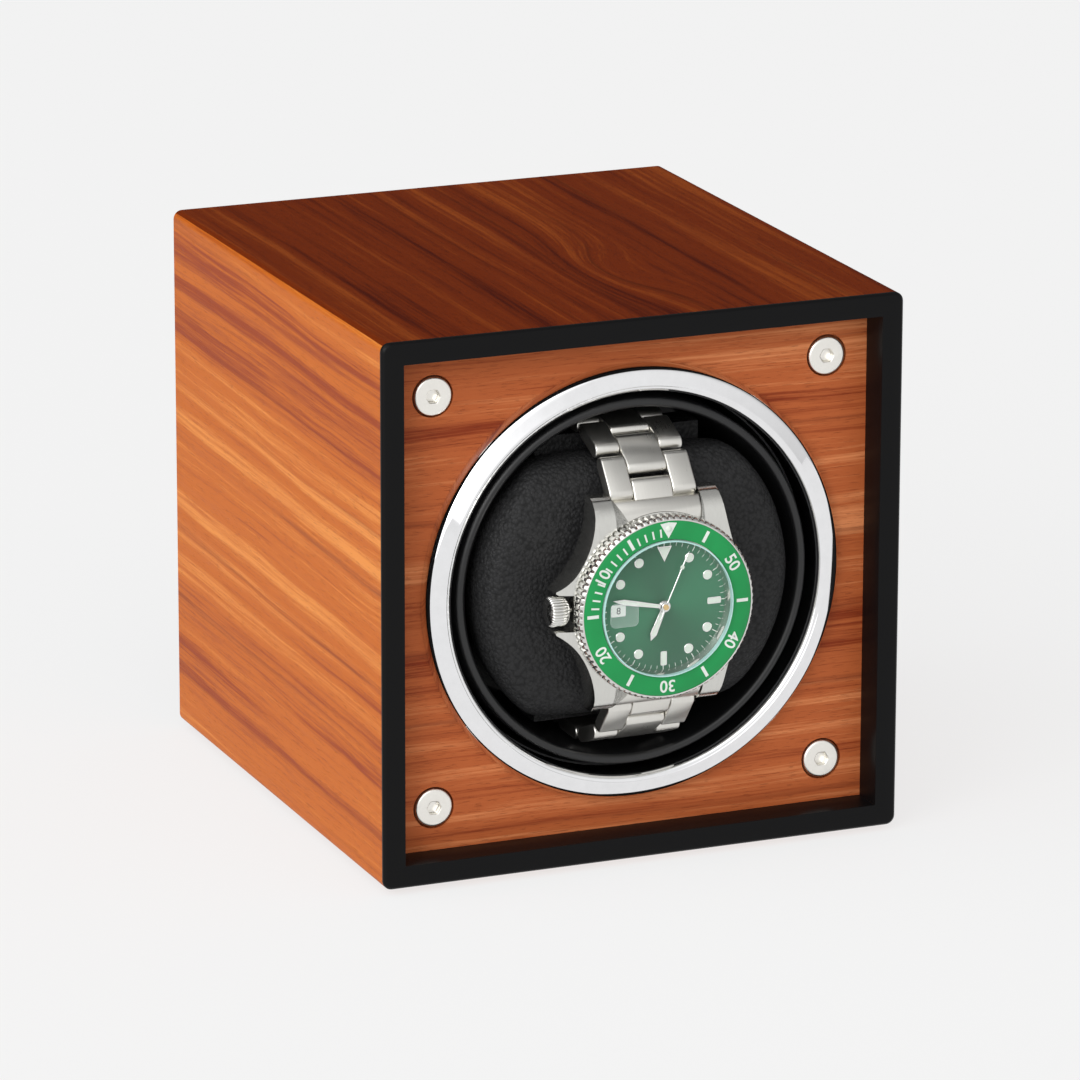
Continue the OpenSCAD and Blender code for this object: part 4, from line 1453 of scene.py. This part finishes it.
@dataclass
class Dial:
    """The sunray dial with applied markers, a printed track and the date."""

    radius: float = 15.4
    front: float = -9.8
    back: float = -9.5
    marker_r: float = 11.6
    date_x: float = -10.4

    def plate(self) -> Form:
        """Turns the dial's disc."""
        return Form.turned([(1.0, self.back), (self.radius, self.back), (self.radius, self.front),
                            (1.0, self.front)], 144, closed=True)

    def flange(self) -> Form:
        """Turns the slanted ring between the dial and the crystal."""
        return Form.turned([(14.15, -9.84), (14.2, -10.0), (14.85, -11.5), (15.42, -11.5), (15.42, -9.84)],
                           144, closed=True)

    def track(self) -> Form:
        """The printed minute track."""
        whole = Form()
        for minute in range(60):
            long = minute % 5 == 0
            bar = Form.block((0.2 if long else 0.11, 1.05 if long else 0.75, 0.02),
                             (0.0, 13.6, self.front - 0.01))
            whole.with_parts([bar.turned_by(-6.0 * minute)])
        return whole

    def marker(self, hour: int, edge: float) -> Form:
        """One applied marker.

        Args:
            hour: The hour that it stands for.
            edge: How much it is grown for the steel that surrounds the paint.

        Returns:
            The marker.
        """
        top = self.front - (0.28 if edge else 0.35)
        if hour == 12:
            grow = edge * 1.7
            corners = [(-1.35 - grow, self.marker_r + 1.35 + edge), (0.0, self.marker_r - 1.5 - grow),
                       (1.35 + grow, self.marker_r + 1.35 + edge)]
            return Form.prism(corners, top, self.front)
        if hour in (3, 6):
            outline = rounded_outline(1.05 + 2 * edge, 2.75 + 2 * edge, 0.1 + edge, 3)
            form = Form.prism(outline, top, self.front)
        else:
            r = 0.88 + edge
            form = Form.turned([(0.0, top), (r - 0.08, top), (r, top + 0.06), (r, self.front),
                                (0.0, self.front)], 36)
        return form.shifted(y=self.marker_r).turned_by(-30.0 * hour)

    def dress(self, bench: Bench) -> None:
        """Makes the dial and everything on it."""
        green = SunrayDial("green_sunray_dial", (0.017, 0.115, 0.053), (0.0, bench.datum.watch_z / MM))
        bench.watch_piece("dial_plate", self.plate(), green, "pillow", ["watch_dial"])
        bench.watch_piece("dial_flange", self.flange(), WATCH_POLISH, "pillow")
        bench.watch_piece("minute_track", self.track(), PRINT_WHITE, "pillow")
        hours = [1, 2, 3, 4, 5, 6, 7, 8, 10, 11, 12]
        paint = Form().with_parts([self.marker(hour, 0.0) for hour in hours])
        steel = Form().with_parts([self.marker(hour, 0.2) for hour in hours])
        bench.watch_piece("lume_plots", paint, LUME, "pillow", ["hour_markers"])
        bench.watch_piece("plot_surrounds", steel, HAND_STEEL, "pillow")
        window = Form.prism(rounded_outline(3.0, 2.3, 0.15, 3), self.front - 0.05, self.front)
        frame = Form.prism(rounded_outline(3.3, 2.6, 0.25, 3), self.front - 0.03, self.front)
        number = Form.lettered("8", 2.1, 0.015, 0.03).shifted(x=self.date_x, depth=self.front - 0.06)
        bench.watch_piece("date_disc", window.shifted(x=self.date_x), PRINT_WHITE, "pillow")
        bench.watch_piece("date_surround", frame.shifted(x=self.date_x), HAND_STEEL, "pillow")
        bench.watch_piece("date_number", number, MATT_BLACK, "pillow")


@dataclass
class Crystal:
    """The crystal and the lens over the date."""

    radius: float = 15.0
    front: float = -13.0
    back: float = -11.6

    def dress(self, bench: Bench) -> None:
        """Makes the crystal and its lens."""
        profile = [(0.0, self.front), (8.0, self.front + 0.02), (self.radius - 0.5, self.front + 0.06),
                   (self.radius - 0.12, self.front + 0.2), (self.radius, self.front + 0.45),
                   (self.radius, self.back)]
        bench.watch_piece("crystal", Form.turned(profile, 144), CRYSTAL, "pillow", ["watch_crystal"])
        edge = Form.turned([(14.72, self.back), (14.72, -12.7), (14.95, -12.7), (14.95, self.back)], 144,
                           closed=True)
        bench.watch_piece("crystal_edge", edge, CRYSTAL_EDGE, "pillow")
        lens = rings([(rounded_outline(6.4, 5.4, 1.2, 5), self.front),
                      (rounded_outline(6.3, 5.3, 1.15, 5), -13.3),
                      (rounded_outline(5.6, 4.6, 0.9, 5), -13.52),
                      (rounded_outline(3.6, 2.8, 0.6, 5), -13.66),
                      (rounded_outline(1.2, 0.8, 0.2, 5), -13.7)], closed=False)
        rim = [e for e in lens.bm.edges if e.is_boundary and min(-v.co.z for v in e.verts) < -13.68]
        bmesh.ops.holes_fill(lens.bm, edges=rim, sides=0)
        bench.watch_piece("date_magnifier", lens.shifted(x=-10.4), LENS, "pillow", ["date_lens"])


@dataclass
class Hands:
    """Plain baton hands with painted centres."""

    hour_turn: float = 203.5
    minute_turn: float = 282.0
    seconds_turn: float = 24.0

    def baton(self, reach: float, width: float, tail: float, front: float, back: float, boss: float) -> Form:
        """A tapered hand round its pivot.

        Args:
            reach: Its length from the pivot.
            width: Its greatest width.
            tail: Its length behind the pivot.
            front: The depth of its front.
            back: The depth of its back.
            boss: Its pivot's radius.

        Returns:
            The hand, pointing up.
        """
        shoulder = reach * 0.8
        outline = [(-width * 0.32, -tail), (width * 0.32, -tail), (width / 2, shoulder), (0.0, reach),
                   (-width / 2, shoulder)]
        blade = Form.prism(outline, front, back).bevelled(0.05, 1, 40.0)
        hub = Form.turned([(0.62, back), (boss, back), (boss, front + 0.05), (boss - 0.06, front),
                           (0.62, front)],
                          40, closed=True)
        return blade.with_parts([hub])

    def fill(self, reach: float, width: float, start: float, front: float) -> Form:
        """The paint let into a hand."""
        outline = [(-width * 0.22, start), (width * 0.22, start), (width * 0.3, reach * 0.79),
                   (0.0, reach * 0.9),
                   (-width * 0.3, reach * 0.79)]
        return Form.prism(outline, front - 0.03, front + 0.02)

    def dress(self, bench: Bench) -> None:
        """Makes the three hands."""
        for name, turn, reach, width, tail, front, back, boss in (
                ("hour", self.hour_turn, 8.0, 1.6, 0.6, -10.5, -10.35, 1.3),
                ("minute", self.minute_turn, 12.4, 1.3, 0.6, -10.85, -10.7, 1.2),
                ("seconds", self.seconds_turn, 13.0, 0.32, 3.0, -11.15, -11.03, 0.95)):
            body = f"{name}_hand"
            form = self.baton(reach, width, tail, front, back, boss)
            bench.watch_piece(f"{name}_blade", form.turned_by(-turn), HAND_STEEL, body, [body])
            if name != "seconds":
                paint = self.fill(reach, width, 1.7, front)
            else:
                paint = Form.turned([(0.0, -11.2), (0.4, -11.2), (0.5, -11.12), (0.0, -11.12)], 24)
                paint.shifted(y=9.2)
            bench.watch_piece(f"{name}_paint", paint.turned_by(-turn), LUME, body)


@dataclass
class Crown:
    """The fluted winding crown with a domed end."""

    start: float = 20.7
    radius: float = 3.3
    length: float = 4.0
    depth: float = -5.0
    flutes: int = 28
    groove: float = 0.34

    def build(self) -> Form:
        """Turns the crown, flutes it and lays it along -X."""
        r, end = self.radius, self.length
        profile = [(0.66, 0.0), (2.7, 0.0), (2.9, -0.1), (3.0, -0.3), (r - 0.06, -0.62), (r, -0.75),
                   (r, -end + 0.55),
                   (r - 0.12, -end + 0.28), (r - 0.45, -end + 0.08), (2.45, -end), (1.6, -end - 0.3),
                   (0.8, -end - 0.44), (0.0, -end - 0.49)]
        inner = [(0.0, -2.6), (0.66, -2.6)]
        form = Form.turned(inner + profile, self.flutes * 8)
        form.fluted(self.flutes, 2.95, 0.25, lambda wave: (1.0 - wave ** 0.8) * self.groove)
        return form.turned_by(-90.0, "Y").shifted(x=-self.start, depth=self.depth)

    def dress(self, bench: Bench) -> None:
        """Makes the crown."""
        bench.watch_piece("fluted_crown", self.build(), WATCH_POLISH, "crown", ["watch_crown"])
        bench.paint(WATCH_POLISH, "crown_stem")


# ---------------------------------------------------------------- inside and behind


@dataclass
class Fittings:
    """Screws, feet, rear controls and the drive, which keep the frame's shapes."""

    def dress(self, bench: Bench) -> None:
        """Finishes the fittings.

        Args:
            bench: The bench that finishes pieces.
        """
        bench.softened("panel_screws", PLATED, "cabinet", 0.22, 3, 40.0)
        bench.softened("rear_cover", MATT_BLACK, "cabinet", 0.25, 2, 40.0)
        bench.softened("rubber_feet", RUBBER, "cabinet", 0.3, 3, 40.0)
        bench.softened("mode_knob", MATT_BLACK, "mode_knob", 0.25, 2, 40.0)
        bench.softened("power_button", PLATED, "power_button", 0.2, 3, 40.0)
        bench.softened("dc_jack", MATT_BLACK, "cabinet", 0.15, 2, 40.0)
        bench.softened("rotor_cup", GLOSS_BLACK, "rotor", 0.15, 2, 50.0)
        bench.paint(FRONT_VENEER, "front_panel")
        bench.paint(DARK_STEEL, "rear_cover_screws", "housing_screws", "drive_screws")
        bench.paint(MATT_BLACK, "rotor_housing", "corner_posts", "board_parts")
        bench.paint(NYLON, "driven_gear", "pinion", "shaft_bushes", "thrust_washer")
        bench.paint(PLATED, "motor_plate", "gearbox", "motor_can", "motor_shaft", "rotor_shaft",
                    "retaining_clip",
                    "cup_screw", "rotary_switch", "plate_standoffs")
        bench.paint(BRASS, "threaded_inserts")
        bench.paint(BOARD_GREEN, "control_board")
        bench.paint(GLOSS_BLACK, "power_switch")
        bench.paint(WIRE_RED, "motor_wires")
        bench.paint(LED_MILK, "status_led")


# ---------------------------------------------------------------- studio and view


@dataclass
class Studio:
    """A pale floor, a white surround brighter from the left and front, and one soft lamp."""

    floor_tone: float = 0.16
    floor_glow: float = 0.74
    ambient: float = 0.42
    key: float = 1.35
    fill: float = 0.5
    shade: float = 0.7

    def floor(self) -> None:
        """Lays the floor."""
        bm = bmesh.new()
        bmesh.ops.create_grid(bm, x_segments=1, y_segments=1, size=6.0)
        mesh = bpy.data.meshes.new("studio_floor")
        bm.to_mesh(mesh)
        bm.free()
        paint = Paint("pale_floor")
        paint.surface(Base_Color=(self.floor_tone,) * 3, Roughness=0.9, Specular_IOR_Level=0.0)
        paint.surface(Emission_Color=(1.0, 1.0, 1.0), Emission_Strength=self.floor_glow)
        mesh.materials.append(paint.material)
        obj = bpy.data.objects.new("studio_floor", mesh)
        bpy.context.scene.collection.objects.link(obj)

    def surround(self) -> None:
        """Fills the room with soft light: a broad key from the left, a front fill and a dim back."""
        world = bpy.data.worlds.new("studio")
        world.use_nodes = True
        nodes = Nodes(world.node_tree)
        split = nodes.node("ShaderNodeSeparateXYZ",
                           sockets={0: nodes.node("ShaderNodeTexCoord").outputs["Generated"]})
        x, y, z = (nodes.level(split, i) for i in range(3))
        key = (x * -0.78 - y * 0.38 + z * 0.5).between(0.35, 0.95)
        front = (y * -1.0).between(0.15, 0.9)
        back = (y - z * 0.5).between(0.1, 0.6)
        strength = (key * self.key + front * self.fill + self.ambient) * (1.0 - back * self.shade)
        light = nodes.node("ShaderNodeBackground", sockets={"Color": (1.0, 1.0, 1.0), "Strength": strength})
        nodes.node("ShaderNodeOutputWorld", sockets={"Surface": light.outputs[0]})
        bpy.context.scene.world = world

    def lamp(self, name: str, place: tuple[float, float, float], size: float, power: float) -> None:
        """Hangs a soft lamp that faces the box.

        Args:
            name: Its name.
            place: Where it hangs, in metres.
            size: Its side.
            power: Its power in watts.
        """
        data = bpy.data.lights.new(name, "AREA")
        data.size, data.energy = size, power
        lamp = bpy.data.objects.new(name, data)
        lamp.location = place
        lamp.rotation_euler = (Vector(place) - Vector((0.0, 0.0, 0.06))).to_track_quat("Z", "Y").to_euler()
        bpy.context.scene.collection.objects.link(lamp)

    def build(self) -> None:
        """Sets up the studio."""
        self.floor()
        self.surround()
        self.lamp("left_lamp", (-1.1, -0.9, 0.8), 0.7, 6.0)
        bpy.context.scene.view_settings.view_transform = "Standard"


@dataclass
class View:
    """The three-quarter view from the front left, a little above."""

    offset: tuple[float, float, float] = (-0.5658, -1.3059, 0.4241)
    azimuth: float = -22.52
    elevation: float = 16.18
    roll: float = 0.13
    lens: float = 232.06

    def build(self, datum: Datum) -> None:
        """Places the camera.

        Args:
            datum: The frame's places.
        """
        a, e, turn = (math.radians(v) for v in (self.azimuth, self.elevation, self.roll))
        back = Vector((math.sin(a) * math.cos(e), -math.cos(a) * math.cos(e), math.sin(e)))
        right = Vector((math.cos(a), math.sin(a), 0.0))
        up = back.cross(right)
        across = right * math.cos(turn) + up * math.sin(turn)
        above = up * math.cos(turn) - right * math.sin(turn)
        data = bpy.data.cameras.new("view")
        data.lens, data.sensor_width, data.clip_start = self.lens, 36.0, 0.05
        camera = bpy.data.objects.new("view", data)
        place = Vector((0.0, datum.front_y, datum.axis_z)) + Vector(self.offset)
        camera.matrix_world = Matrix.Translation(place) @ Matrix((across, above, back)).transposed().to_4x4()
        bpy.context.scene.collection.objects.link(camera)
        bpy.context.scene.camera = camera


def main() -> None:
    """Builds the winder box and reports each piece."""
    logging.basicConfig(level=logging.INFO, format="%(name)s: %(message)s")
    FRAME.update(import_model())
    datum = Datum.read()
    View().build(datum)
    Studio().build()
    bench = Bench(datum)
    for assembly in (Cabinet(), FrontFrame(), TrimRing(), Pillow(), Bracelet(), WatchCase(), Bezel(), Dial(),
                     Crystal(), Hands(), Crown(), Fittings()):
        LOG.info("building the %s", type(assembly).__name__)
        assembly.dress(bench)


if __name__ == "__main__":
    main()
